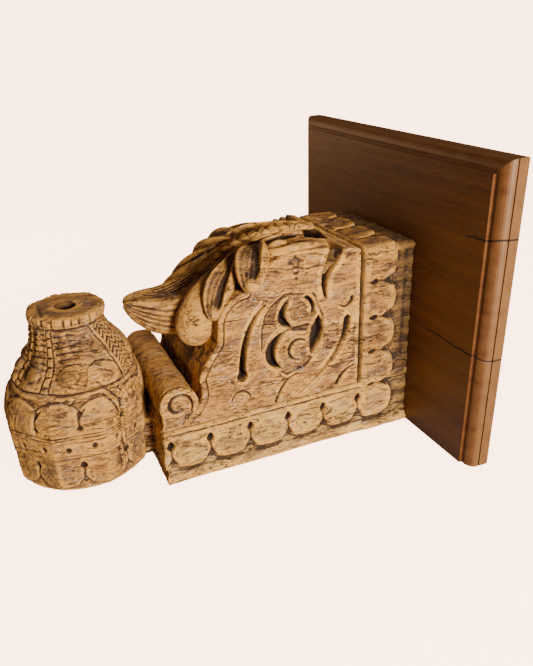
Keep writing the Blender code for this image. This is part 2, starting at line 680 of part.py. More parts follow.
def make_corbel():
    """One block: forms joined by unions, then everything carved out of it."""
    bm = bmesh.new()
    band_form(bm)
    corbel = new_object("carved_corbel", bm)
    corbel.location = (0, -BOARD_THICKNESS - SEAT_GAP, -0.5 * BOARD_HEIGHT)
    corbel.data.materials.append(wood_material("old_teak", TEAK, 0.72))

    forms = [make_tool("ledge_form", corbel, ledge_form),
             make_tool("bead_form", corbel, bead_form),
             make_tool("panel_form", corbel, panel_form),
             as_tool(cap_object(), corbel),
             make_tool("roll_form", corbel, roll_form),
             make_tool("tip_lobe_form", corbel, tip_lobe_form)]
    for mirror in (-1, 1):
        bm = bmesh.new()
        leaflets_form(bm, mirror)
        for part in split_shells(bm, "leaflet"):
            forms.append(as_tool(part, corbel))
    forms += [make_tool("midrib_form", corbel, midrib_form),
              make_tool("web_form", corbel, web_form),
              make_tool("pendant_form", corbel, pendant_form),
              make_tool("ladder_form", corbel, pendant_boss_form),
              make_tool("pear_form", corbel, pendant_pear_form)]
    for form in forms:
        boolean(corbel, form, 'UNION')

    cutters = [make_tool("side_cutters", corbel, lambda bm: side_cutters(bm, -1),
                         lambda bm: side_cutters(bm, 1)),
               make_tool("keyhole_cutters", corbel, keyhole_cutters),
               make_tool("eye_cutters", corbel, eye_cutters),
               make_tool("groove_cutters", corbel, groove_cutters),
               make_tool("top_groove_cutter", corbel, top_groove_cutter),
               make_tool("channel_cutters", corbel, channel_cutters),
               make_tool("side_channel_cutters", corbel, side_channel_cutters),
               make_tool("side_collar_cutters", corbel, side_collar_cutters),
               make_tool("top_collar_cutter", corbel, top_collar_cutter),
               make_tool("valley_cutters", corbel, valley_cutters),
               make_tool("pendant_cutters", corbel, pendant_cutters),
               make_tool("peg_hole_cutter", corbel, peg_hole_cutter)]
    for cutter in cutters:
        overlapping = cutter.name in ("side_cutters", "pendant_cutters")
        boolean(corbel, cutter, 'DIFFERENCE', own_overlaps=overlapping)
    return corbel


def split_shells(bm, name):
    """One object for each separate shell of a bmesh."""
    shells = []
    left = set(bm.verts)
    while left:
        stack, shell = [left.pop()], set()
        while stack:
            vert = stack.pop()
            shell.add(vert)
            for edge in vert.link_edges:
                other = edge.other_vert(vert)
                if other in left:
                    left.remove(other)
                    stack.append(other)
        shells.append(shell)
    items = []
    for shell in shells:
        part = bmesh.new()
        copies = {vert: part.verts.new(vert.co) for vert in shell}
        for face in {face for vert in shell for face in vert.link_faces}:
            part.faces.new([copies[vert] for vert in face.verts])
        items.append(new_object(name, part))
    bm.free()
    return items


def board_profile():
    """Edge profile as (inset from the edge, y): step, cove, round, groove and back layer."""
    land = -BOARD_THICKNESS + MOULD_STEP
    lip = -BOARD_BACK_LAYER
    points = [(MOULD_WIDTH, -BOARD_THICKNESS), (MOULD_WIDTH, land),
              (MOULD_WIDTH - 0.4 * MOULD_COVE, land + 0.3 * MOULD_COVE),
              (MOULD_WIDTH - MOULD_COVE, land + 0.3 * MOULD_COVE)]
    span = MOULD_WIDTH - MOULD_COVE
    depth = lip - QUIRK_WIDTH - land
    for k in range(1, MOULD_STEPS + 1):
        angle = 0.5 * math.pi * k / MOULD_STEPS
        points.append((span * (1 - math.sin(angle)), land + depth * (1 - math.cos(angle))))
    points += [(QUIRK_DEPTH, lip - QUIRK_WIDTH), (QUIRK_DEPTH, lip), (0.0, lip), (0.0, 0.0)]
    return points


def make_board():
    """Moulded on the top and both sides, with square mitres, and cut plain along the bottom."""
    half_width, half_height = 0.5 * BOARD_WIDTH, 0.5 * BOARD_HEIGHT
    bm = bmesh.new()
    loops = []
    for inset, y in board_profile():
        x, top = half_width - inset, half_height - inset
        loops.append([bm.verts.new(p) for p in
                      ((x, y, -half_height), (x, y, top), (-x, y, top), (-x, y, -half_height))])
    for first, second in zip(loops, loops[1:]):
        for k in range(3):
            bm.faces.new((first[k], first[k + 1], second[k + 1], second[k]))
    bm.faces.new(loops[0])
    bm.faces.new(list(reversed(loops[-1])))
    bm.faces.new([loop[0] for loop in loops] + [loop[3] for loop in reversed(loops)])
    board = new_object("backboard", bm)
    board.data.materials.append(wood_material("satin_board", BOARD_BROWN, 0.4))
    return board


clear_scene()
make_corbel()
make_board()
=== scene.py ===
"""Looks of a carved wooden corbel with its pendant, on a moulded backboard.

Shapes are drawn in millimetres: x across, u out from the board's face, z up from the flat
bearing face. The row's frame has y = -(board + seat) - u and z = z - half the board's height.
"""

import math

import bpy
import numpy as np
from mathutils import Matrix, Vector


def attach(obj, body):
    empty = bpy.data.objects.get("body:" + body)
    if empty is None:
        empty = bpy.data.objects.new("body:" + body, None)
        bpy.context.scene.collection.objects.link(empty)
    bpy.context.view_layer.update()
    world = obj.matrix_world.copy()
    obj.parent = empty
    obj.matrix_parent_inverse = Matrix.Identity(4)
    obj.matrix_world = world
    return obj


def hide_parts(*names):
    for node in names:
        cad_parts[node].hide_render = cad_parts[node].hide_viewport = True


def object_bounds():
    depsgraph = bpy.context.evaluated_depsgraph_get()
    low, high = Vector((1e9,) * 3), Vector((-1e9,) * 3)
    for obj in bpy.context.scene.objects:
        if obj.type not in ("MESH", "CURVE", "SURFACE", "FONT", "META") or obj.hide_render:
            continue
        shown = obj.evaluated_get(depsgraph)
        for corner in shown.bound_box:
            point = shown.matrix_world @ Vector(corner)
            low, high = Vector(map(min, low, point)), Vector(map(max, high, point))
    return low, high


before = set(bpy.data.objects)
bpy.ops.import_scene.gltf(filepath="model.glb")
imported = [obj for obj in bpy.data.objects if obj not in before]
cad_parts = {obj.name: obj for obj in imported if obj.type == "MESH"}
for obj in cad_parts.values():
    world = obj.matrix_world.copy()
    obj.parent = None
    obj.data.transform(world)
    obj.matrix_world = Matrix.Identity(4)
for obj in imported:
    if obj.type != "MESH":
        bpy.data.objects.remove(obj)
cad_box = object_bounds()

# The room: a pale seamless floor and wall. A key light grazes the corbel's near side and leaves
# the board's face in shade, and a weak warm light from the far left puts a sheen on it.
BACKDROP = "#ffcdb0"
BACKDROP_STRENGTH = 7.8
WORLD_STRENGTH = 0.10
FLOOR_Z = cad_box[0][2]


def linear(code):
    """Linear RGBA from an sRGB hex code: c/12.92 below 0.04045, else ((c + 0.055)/1.055)^2.4."""
    parts = [int(code[k:k + 2], 16) / 255 for k in (1, 3, 5)]
    return [c / 12.92 if c <= 0.04045 else ((c + 0.055) / 1.055) ** 2.4 for c in parts] + [1.0]


def add_node(tree, kind, settings=None, **links):
    """Add a shader node; settings go to its properties, links to its sockets by name or number."""
    node = tree.nodes.new("ShaderNode" + kind)
    for key, value in (settings or {}).items():
        setattr(node, key, value)
    for key, value in links.items():
        socket = node.inputs[int(key[1:])] if key[1:].isdigit() else node.inputs[key.replace("_", " ")]
        if isinstance(value, bpy.types.NodeSocket):
            tree.links.new(value, socket)
        else:
            socket.default_value = value
    return node


def new_material(name):
    """Material with nodes, its tree and its shader."""
    material = bpy.data.materials.new(name)
    material.use_nodes = True
    tree = material.node_tree
    return material, tree, tree.nodes["Principled BSDF"]


GAP = 0.0004
REACH = 6.0
floor_mesh = bpy.data.meshes.new("floor")
corners = ((-REACH, -REACH), (REACH, -REACH), (REACH, REACH), (-REACH, REACH))
floor_mesh.from_pydata([corner + (FLOOR_Z - GAP,) for corner in corners], [], [(0, 1, 2, 3)])
floor = bpy.data.objects.new("floor", floor_mesh)
bpy.context.scene.collection.objects.link(floor)
material, tree, shader = new_material("pale_paper")
shader.inputs["Base Color"].default_value = linear("#b5aca4")
shader.inputs["Roughness"].default_value = 0.95
shader.inputs["Emission Color"].default_value = linear(BACKDROP)
seen = add_node(tree, "LightPath").outputs["Is Camera Ray"]
glow = add_node(tree, "Math", {"operation": 'MULTIPLY'}, i0=seen, i1=BACKDROP_STRENGTH)
tree.links.new(glow.outputs[0], shader.inputs["Emission Strength"])
floor_mesh.materials.append(material)

world = bpy.data.worlds.new("studio")
bpy.context.scene.world = world
world.use_nodes = True
world.node_tree.nodes["Background"].inputs["Color"].default_value = linear(BACKDROP)
seen = add_node(world.node_tree, "LightPath").outputs["Is Camera Ray"]
strength = add_node(world.node_tree, "MapRange", Value=seen, To_Min=WORLD_STRENGTH,
                    To_Max=BACKDROP_STRENGTH)
world.node_tree.links.new(strength.outputs[0], world.node_tree.nodes["Background"].inputs["Strength"])


def area_light(name, place, target, size, power, colour):
    """Square soft light at place, turned to look at target."""
    lamp = bpy.data.lights.new(name, 'AREA')
    lamp.size = size
    lamp.energy = power
    lamp.color = linear(colour)[:3]
    item = bpy.data.objects.new(name, lamp)
    bpy.context.scene.collection.objects.link(item)
    item.location = place
    way = np.array(target) - np.array(place)
    item.rotation_euler = (math.atan2(math.hypot(way[0], way[1]), -way[2]), 0,
                           math.atan2(way[1], way[0]) - math.pi / 2)


area_light("key", (1.13, -0.02, 0.30), (0, -0.16, -0.03), 0.26, 30.0, "#fff3e6")
area_light("sheen", (-0.66, -0.40, 0.20), (-0.05, 0, 0.06), 0.45, 1.3, "#ffcf9c")

camera_data = bpy.data.cameras.new("camera")
camera_data.sensor_width = 36.0
camera_data.lens = 34.91
camera = bpy.data.objects.new("camera", camera_data)
bpy.context.scene.collection.objects.link(camera)
bpy.context.scene.camera = camera
right = np.array((0.4079, 0.9126, -0.0273))
up = np.array((-0.3771, 0.1956, 0.9053))
away = np.cross(right, up)
turn = np.eye(4)
turn[:3, 0], turn[:3, 1], turn[:3, 2] = right, up, away
turn[:3, 3] = (0.4604, -0.3260, 0.1981)
camera.matrix_world = turn.T.tolist()

# The carved faces of the block, as depths in millimetres at (u, z). The real block is old teak
# cut with gouges and a drill, and the same relief is cut into both sides.
SEAT = 19.5
HALF_BOARD = 120.0
HALF = 59.0
LENGTH = 220.0
HEIGHT = 166.0
LEDGE = 51.0
CAP = 50.0


def step(low, high, value):
    """0 below low, 1 above high, s*s*(3 - 2s) between; low may lie above high."""
    s = np.clip((value - low) / (high - low), 0.0, 1.0)
    return s * s * (3 - 2 * s)


def bezier(p0, p1, p2, p3, count):
    """Points of a cubic Bezier curve."""
    t = np.linspace(0, 1, count)[:, None]
    p0, p1, p2, p3 = (np.array(p, float) for p in (p0, p1, p2, p3))
    return (1 - t) ** 3 * p0 + 3 * t * (1 - t) ** 2 * p1 + 3 * t * t * (1 - t) * p2 + t ** 3 * p3


def arc(centre, radius, start, end, count=12):
    """Points of an arc, angles in degrees."""
    a = np.radians(np.linspace(start, end, count))
    return np.stack((centre[0] + radius * np.cos(a), centre[1] + radius * np.sin(a)), -1)


def to_path(u, z, path):
    """Distance from each (u, z) to a polyline, and how far along it (0..1) the nearest point is."""
    best = np.full(u.shape, 1e9)
    along = np.zeros(u.shape)
    last = len(path) - 1
    for k, (a, b) in enumerate(zip(path[:-1], path[1:])):
        du, dz = b[0] - a[0], b[1] - a[1]
        t = np.clip(((u - a[0]) * du + (z - a[1]) * dz) / max(du * du + dz * dz, 1e-9), 0, 1)
        gap = np.hypot(u - a[0] - t * du, z - a[1] - t * dz)
        nearer = gap < best
        best = np.where(nearer, gap, best)
        along = np.where(nearer, (k + t) / last, along)
    return best, along


def to_outline(u, z, outline):
    """Signed distance to a closed outline, negative inside, by counting crossings."""
    loop = np.vstack((outline, outline[:1]))
    gap, _ = to_path(u, z, loop)
    within = np.zeros(u.shape, bool)
    for a, b in zip(loop[:-1], loop[1:]):
        if a[1] != b[1]:
            crosses = (a[1] > z) != (b[1] > z)
            within ^= crosses & (u < a[0] + (z - a[1]) * (b[0] - a[0]) / (b[1] - a[1]))
    return np.where(within, -gap, gap)


def groove(u, z, path, half_widths, depth, soft=0.5):
    """Cut along a path: full depth inside the half width, which runs through the given values."""
    gap, along = to_path(u, z, np.asarray(path, float))
    half = np.interp(along, np.linspace(0, 1, len(half_widths)), half_widths)
    return depth * step(half + soft, half - soft, gap)


def sunk(u, z, outline, depth, soft=0.6):
    """Ground sunk inside a closed outline, its wall 2 * soft wide."""
    return depth * step(soft, -soft, to_outline(u, z, np.asarray(outline, float)))


def ridge(u, z, path, half, height):
    """Raised bead along a path, with a round top."""
    gap, _ = to_path(u, z, np.asarray(path, float))
    return -height * step(half, 0.0, gap)


def eye(u, z, centre, wide, tall, depth):
    """Drilled and gouged eye: an oval hole, a little pointed at its top."""
    du = (u - centre[0]) / wide
    dz = (z - centre[1]) / tall
    reach = np.hypot(du * (1 + 0.35 * np.clip(dz, 0, 1.5)), dz)
    return depth * step(1.15, 0.7, reach)


def deepest(*cuts):
    """The deepest of several cuts at each point."""
    return np.maximum.reduce(cuts)


BAND_EYES = np.array((50.8, 83.8, 116.0, 149.6, 182.6, 214.0))
CAP_EYES = np.array((44.5, 75.5, 106.0, 136.5))


def dome(share, power=2):
    """1 in the middle of a petal, where share is 0, falling ever faster to 0 at its edges."""
    return np.sqrt(np.clip(1 - share ** power, 0, 1))


def petals(along, eyes, low_end, high_end):
    """Of each petal between two eyes: the places on it, and their share of the way to its edge."""
    edges = np.concatenate(([low_end], eyes, [high_end]))
    for left, right_ in zip(edges[:-1], edges[1:]):
        middle, half = (left + right_) / 2, (right_ - left) / 2
        yield (along >= left) & (along < right_), np.clip(np.abs(along - middle) / half, 0, 1)


def band_relief(along, z, eyes, low_end, high_end):
    """Petals of the band: rounded tips over a sunk foot, an eye, slit and notch between two."""
    depth = np.zeros(along.shape)
    for here, share in petals(along, eyes, low_end, high_end):
        foot = 14.0 + 10.5 * (1 - dome(share, 3.2))
        under = step(0.6, -0.6, z - foot) * (0.3 + 0.7 * step(3, 11, z))
        body = -1.3 * dome(share) * step(foot - 1, foot + 6, z)
        depth = np.where(here, 2.8 * under + body * step(43, 36, z) + 0.5, depth)
    for centre in eyes:
        wobble = 0.5 * math.sin(centre)
        slit = [(centre + wobble, 32), (centre, 20)]
        notch = [(centre - 0.3, 25.5), (centre + 5.2, 16.4), (centre + 1.5, 17.6), (centre - 5.0, 16.8)]
        depth = deepest(depth, groove(along, z, slit, (0.7, 0.3, 1.2), 3.0, 0.45),
                        sunk(along, z, notch, 3.2, 0.8),
                        eye(along, z, (centre + wobble, 35.0), 2.9, 4.3, 6.5))
    return depth


def cap_relief(out, along, eyes, low_end, high_end):
    """Petals of the cap: tips towards the board over a collar, an eye and dark notch between."""
    collar = 4.4 + 0.4 * np.sin(along * 0.5)
    depth = collar + np.zeros(along.shape)
    for here, share in petals(along, eyes, low_end, high_end):
        tip = 17.5 + 12.5 * (1 - dome(share, 2.6))
        over = step(-0.8, 0.8, out - tip)
        body = -1.0 * dome(share) * step(50, 34, out) + 0.5
        depth = np.where(here, collar * (1 - over) + body * over, depth)
    for centre in eyes:
        notch = [(31.0, centre), (25.5, centre + 3.4), (21.0, centre + 5), (21.0, centre - 5),
                 (25.5, centre - 3.2)]
        slit = [(38, centre), (28, centre)]
        depth = deepest(depth, sunk(out, along, notch, 5.2, 0.9),
                        groove(out, along, slit, (0.8, 0.5), 2.6),
                        eye(along, out, (centre, 38.2), 2.5, 4.4, 6.0))
    return depth


def panel_relief(u, z):
    """Scrolls, slits, crescents and beads of the side panel."""
    upper, lower = (104.8, 124.0), (104.8, 92.0)
    band_line = [(118.5, 141.5), (128.8, 135), (134.8, 127), (137.8, 115), (138.3, 100), (135.8, 90),
                 (129.8, 82), (121.8, 76), (116.8, 72)]
    depth = np.zeros(u.shape)
    inner = np.vstack((band_line, [(100, 76), (84, 92), (84, 118), (92, 138)]))
    depth += 1.5 * step(1.0, -1.0, to_outline(u, z, inner))
    depth += ridge(u, z, band_line, 1.5, 1.7)
    depth += ridge(u, z, [(165.8, 103), (172.8, 97), (177.3, 86), (179, 74), (184.5, 56)], 1.5, 1.5)
    depth += ridge(u, z, [(78.5, 118), (81, 104), (86, 90), (94, 77), (104, 67), (112, 60)], 1.6, 1.3)
    upper_left = np.vstack((bezier((113.5, 135.8), (119.5, 131.5), (126, 122), (120, 116.4), 9),
                            bezier((120, 116.4), (117.5, 113.5), (114.5, 112.4), (111.6, 112.4), 6)[1:],
                            arc(upper, 11.6, -50, 42)))
    lower_left = np.vstack((bezier((111.0, 111.6), (122, 110), (134.5, 104), (133.2, 92), 10),
                            bezier((133.2, 92), (132.5, 85), (126, 79.5), (119.0, 78.6), 8)[1:],
                            arc((105.6, 92), 19.6, -38, 70)))
    right_dark = [(88.0, 118.4), (84.8, 112), (84.2, 104), (86, 97), (90, 90), (94, 85.2),
                  (95.4, 92), (95.6, 99), (94.6, 105), (92.4, 110.5)]
    slot = np.vstack((arc(upper, 14.0, 118, 196), arc((105.6, 124.2), 11.6, 200, 112)))
    cuts = [groove(u, z, bezier((133, 135), (146, 126), (153, 108), (153.6, 80), 14),
                   (0.5, 1.4, 2.2, 2.6), 11.0, 0.55),
            11.0 * step(4.6, 3.5, np.hypot(u - 153.6, z - 80.5)),
            groove(u, z, bezier((62.6, 110), (64, 88), (78, 72), (105, 54), 14),
                   (3.0, 2.2, 1.3, 0.7, 0.3), 9.0, 0.55),
            sunk(u, z, upper_left, 10.0), sunk(u, z, lower_left, 10.0), sunk(u, z, right_dark, 11.0),
            sunk(u, z, [(113, 112.6), (97, 113.6), (91, 109), (96, 105.8), (112, 109)], 3.0, 1.2),
            sunk(u, z, slot, 8.0, 0.5),
            groove(u, z, arc(lower, 8.6, 128, -98, 16), (0.5, 1.6, 1.2, 0.5), 4.2),
            groove(u, z, arc((64.8, 127), 6.0, 172, 318), (1.6, 1.2, 0.3), 4.0),
            groove(u, z, arc((155.3, 60.5), 7.6, 0, 180), (0.4, 0.9, 0.4), 1.8),
            groove(u, z, arc((52.5, 48), 19.5, 18, 88), (1.8, 1.3, 0.5), 2.6),
            groove(u, z, bezier((106, 72), (116, 72), (122, 62), (126, 52), 10), (0.3, 1.0, 1.2), 2.6),
            groove(u, z, bezier((71, 172), (77, 160), (87, 150), (82, 132), 12),
                   (6.2, 5.4, 3.6, 2.4, 0.8), 11.0, 0.8)]
    depth = deepest(depth, *cuts)
    chip = np.hypot((u - 107.5 - 0.12 * (z - 163)) / 5.0, (z - 162) / 9.5)
    depth += 1.7 * step(1.35, 0.55, chip + 0.14 * np.sin(z * 0.9 + 1) + 0.12 * np.sin(u * 1.1))
    depth += 1.2 * step(3.0, 0.0, np.hypot((u - 66) / 2.2, (z - 163) / 1.2))
    return depth


def side_relief(u, z):
    """The whole side: band below the ledge, petalled cap beside the board, panel between."""
    band = band_relief(u, z, BAND_EYES, 20.0, LENGTH + 8)
    cap = cap_relief(u, z, CAP_EYES, 14.0, HEIGHT + 6)
    panel = 1.0 + panel_relief(u, z)
    groove_line = 7.0 * step(2.3, 1.0, np.abs(u - CAP)) * step(49.0, 51.5, z)
    beside = step(CAP - 4, CAP - 8, u)
    low = step(48.5, 46, z)
    depth = panel * (1 - low) * step(CAP - 1, CAP + 1, u) + band * low * (1 - beside)
    depth += cap * (1 - step(CAP - 1, CAP + 1, u)) * (1 - low) + cap * low * beside * step(2, 10, z)
    return np.maximum(depth, groove_line)


def ledge_inset(z):
    """How far the band steps in above its face: a groove, a bead and a deeper groove."""
    heights = (0, 1.2, 42.4, 43.4, 44.2, 45.2, 47.2, 48.0, 48.8, 51.0)
    insets = (1.0, 0.0, 0.0, 1.8, 2.2, 0.6, 0.6, 2.2, 5.0, 5.2)
    return np.interp(z, heights, insets)


def lattice(points, size, seed):
    """Value noise in -1..1: random corner values of a lattice, blended by s*s*(3 - 2s)."""
    scaled = points / np.asarray(size, float) + seed * 7.31
    cell = np.floor(scaled).astype(np.int64)
    part = scaled - cell
    part = part * part * (3 - 2 * part)
    total = np.zeros(points.shape[:-1])
    for corner in range(8):
        bit = np.array((corner & 1, corner >> 1 & 1, corner >> 2 & 1))
        key = (cell + bit) @ np.array((73856093, 19349663, 83492791)) + seed * 1013
        key = (key ^ (key >> 13)) * 1274126177 & 0xffffffff
        key = (key ^ (key >> 15)) * 2246822519 & 0xffffffff
        value = (key >> 8 & 0xffff) / 32767.5 - 1
        total += value * np.prod(np.where(bit, part, 1 - part), axis=-1)
    return total


draw = np.random.default_rng(11)
CRACKS = 150
crack_start = draw.uniform(-20, 315, CRACKS)
crack_length = draw.uniform(14, 75, CRACKS)
crack_height = draw.uniform(2, 172, CRACKS)
crack_cross = draw.uniform(-59, 59, CRACKS)
crack_tilt = draw.normal(0, 0.05, CRACKS)
crack_phase = draw.uniform(0, 6.3, CRACKS)
crack_depth = draw.uniform(0.5, 1.5, CRACKS)


def drying_cracks(points):
    """Cracks along the grain: thin sheets, two thirds of them level and the rest upright."""
    x, u, z = points[..., 0], points[..., 1], points[..., 2]
    depth = np.zeros(x.shape)
    for k in range(CRACKS):
        along = (u - crack_start[k]) / crack_length[k]
        taper = np.sqrt(np.clip(4 * along * (1 - along), 0, 1))
        wave = (crack_tilt[k] * (u - crack_start[k]) + 0.7 * np.sin(u / 7.0 + crack_phase[k])
                + 0.35 * np.sin(u / 2.6 + 2 * crack_phase[k]))
        off_height, off_cross = z - crack_height[k], x - crack_cross[k]
        level = k % 3 != 0
        gap, other, half = (off_height, off_cross, 30) if level else (off_cross, off_height, 60)
        here = step(half, half * 0.7, np.abs(other)) * taper
        depth = np.maximum(depth, crack_depth[k] * here * step(0.75 * here + 0.05, 0.0, np.abs(gap - wave)))
    return depth


def weather(points):
    """Depth of what age has done: soft dents, raised grain along u, cracks and pits."""
    warp = 2.0 * lattice(points, (37, 53, 23), 3) + 0.6 * lattice(points, (11, 17, 8), 4)
    bent = points + np.stack((0.7 * warp, 0 * warp, warp), -1)
    dents = 0.40 * lattice(points, (15, 24, 13), 1) + 0.20 * lattice(bent, (5, 8, 5), 2)
    grain = 0.14 * lattice(bent, (1.7, 21, 1.5), 5) + 0.12 * lattice(bent, (2.9, 11, 2.5), 6)
    chatter = 0.10 * lattice(bent, (1.3, 3.1, 1.2), 12)
    pits = 0.40 * step(0.55, 0.9, lattice(bent, (1.9, 4.1, 1.7), 11))
    return dents + grain + chatter + pits + drying_cracks(points)


def shift(values, rows, cols, closed):
    """The grid moved by rows and cols; edges repeat unless the columns close on themselves."""
    index_r = np.clip(np.arange(values.shape[0]) + rows, 0, values.shape[0] - 1)
    index_c = np.arange(values.shape[1]) + cols
    index_c = index_c % values.shape[1] if closed else np.clip(index_c, 0, values.shape[1] - 1)
    return values[index_r][:, index_c]


def normals(points, closed):
    """Unit normals of a grid of points: cross product of its two central differences."""
    down = shift(points, 1, 0, closed) - shift(points, -1, 0, closed)
    over = shift(points, 0, 1, closed) - shift(points, 0, -1, closed)
    cross = np.cross(down, over)
    return cross / np.maximum(np.linalg.norm(cross, axis=-1, keepdims=True), 1e-9)


def hollow_of(points, normal, closed, reaches=(1, 3, 8)):
    """How concave each point is: how far the mean of its neighbours stands out of the surface."""
    total = np.zeros(points.shape[:-1])
    for k in reaches:
        mean = sum(shift(points, a, b, closed) for a, b in ((k, 0), (-k, 0), (0, k), (0, -k))) / 4
        total += np.clip(np.sum((mean - points) * normal, -1) / (0.22 + 0.20 * k), -1.2, 1.8)
    return np.clip(0.5 + 0.5 * total / len(reaches), 0, 1)


def grid_object(name, points, closed, grime_and_painted_shade, behind=()):
    """Mesh of a grid of drawing points: smooth quads between neighbours, flat ones elsewhere.

    An open grid is closed through the columns of points behind it, and each end by one face.
    """
    count = points.shape[1]
    hollow = hollow_of(points, normals(points, closed), closed)
    if len(behind):
        points = np.concatenate((points, np.stack(behind, 1)), axis=1)
        hollow, grime_and_painted_shade = (np.pad(values, ((0, 0), (0, len(behind)))) for values in (hollow, grime_and_painted_shade))
    rows, cols = points.shape[:2]
    place = points.reshape(-1, 3) * (1, -1, 1) - (0, SEAT, HALF_BOARD)
    index = np.arange(rows * cols).reshape(rows, cols)
    following = np.roll(index, -1, axis=1)
    quads = np.stack((index[:-1], following[:-1], following[1:], index[1:]), -1)
    smooth = np.zeros(quads.shape[:2], bool)
    smooth[:, :count if closed else count - 1] = True
    faces = quads.reshape(-1, 4).tolist() + [index[0][::-1].tolist(), index[-1].tolist()]
    mesh = bpy.data.meshes.new(name)
    mesh.from_pydata((place * 0.001).tolist(), [], faces)
    mesh.polygons.foreach_set("use_smooth", np.append(smooth.reshape(-1), (False, False)))
    for label, values in (("hollow", hollow), ("grime_and_painted_shade", grime_and_painted_shade)):
        layer = mesh.attributes.new(label, 'FLOAT', 'POINT')
        layer.data.foreach_set("value", np.ascontiguousarray(values.reshape(-1), dtype=float))
    item = bpy.data.objects.new(name, mesh)
    bpy.context.scene.collection.objects.link(item)
    return item


def cut_in(base, depth, closed=False, rough=1.0, added_grime_and_shade=0.0):
    """Points of a base surface cut in along its normals by depth and weather, and their dark paint: grime
    and painted shade wherever the cut goes deeper than about 2 mm, and the added grime and shade given.
    """
    normal = normals(base, closed)
    if np.sum(normal * (base - base.mean(axis=(0, 1)))) < 0:
        normal = -normal
    points = base - normal * (depth + rough * weather(base))[..., None]
    return points, np.maximum(step(1.8, 6.5, depth), added_grime_and_shade)


def carved(name, base, depth, closed=False, rough=1.0, added_grime_and_shade=0.0):
    """Grid object cut from a base surface, its faces turned outwards."""
    points, grime_and_painted_shade = cut_in(base, depth, closed, rough, added_grime_and_shade)
    if np.sum(normals(base, closed) * (base - base.mean(axis=(0, 1)))) < 0:
        points, grime_and_painted_shade = points[:, ::-1], grime_and_painted_shade[:, ::-1]
    return grid_object(name, points, closed, grime_and_painted_shade)


def colour_tools(tree):
    """Three node makers for a tree: smooth ramp of a value, arithmetic, and coats of colour."""
    def between(value, low, high):
        """0 below low, 1 above high, smooth between; low may lie above high."""
        return add_node(tree, "MapRange", {"interpolation_type": "SMOOTHSTEP"}, Value=value,
                        From_Min=low, From_Max=high).outputs[0]

    def maths(operation, *values):
        """One arithmetic step on one to three values."""
        return add_node(tree, "Math", {"operation": operation},
                        **{"i%d" % k: value for k, value in enumerate(values)}).outputs[0]

    def painted(code, coats):
        """A colour under coats of (where, strength, hex code), the last coat on top."""
        colour = linear(code)
        for where, strength, code in coats:
            share = maths('MULTIPLY', where, strength)
            mix = add_node(tree, "Mix", {"data_type": 'RGBA'}, i0=share, i6=colour, i7=linear(code))
            colour = mix.outputs[2]
        return colour

    return between, maths, painted


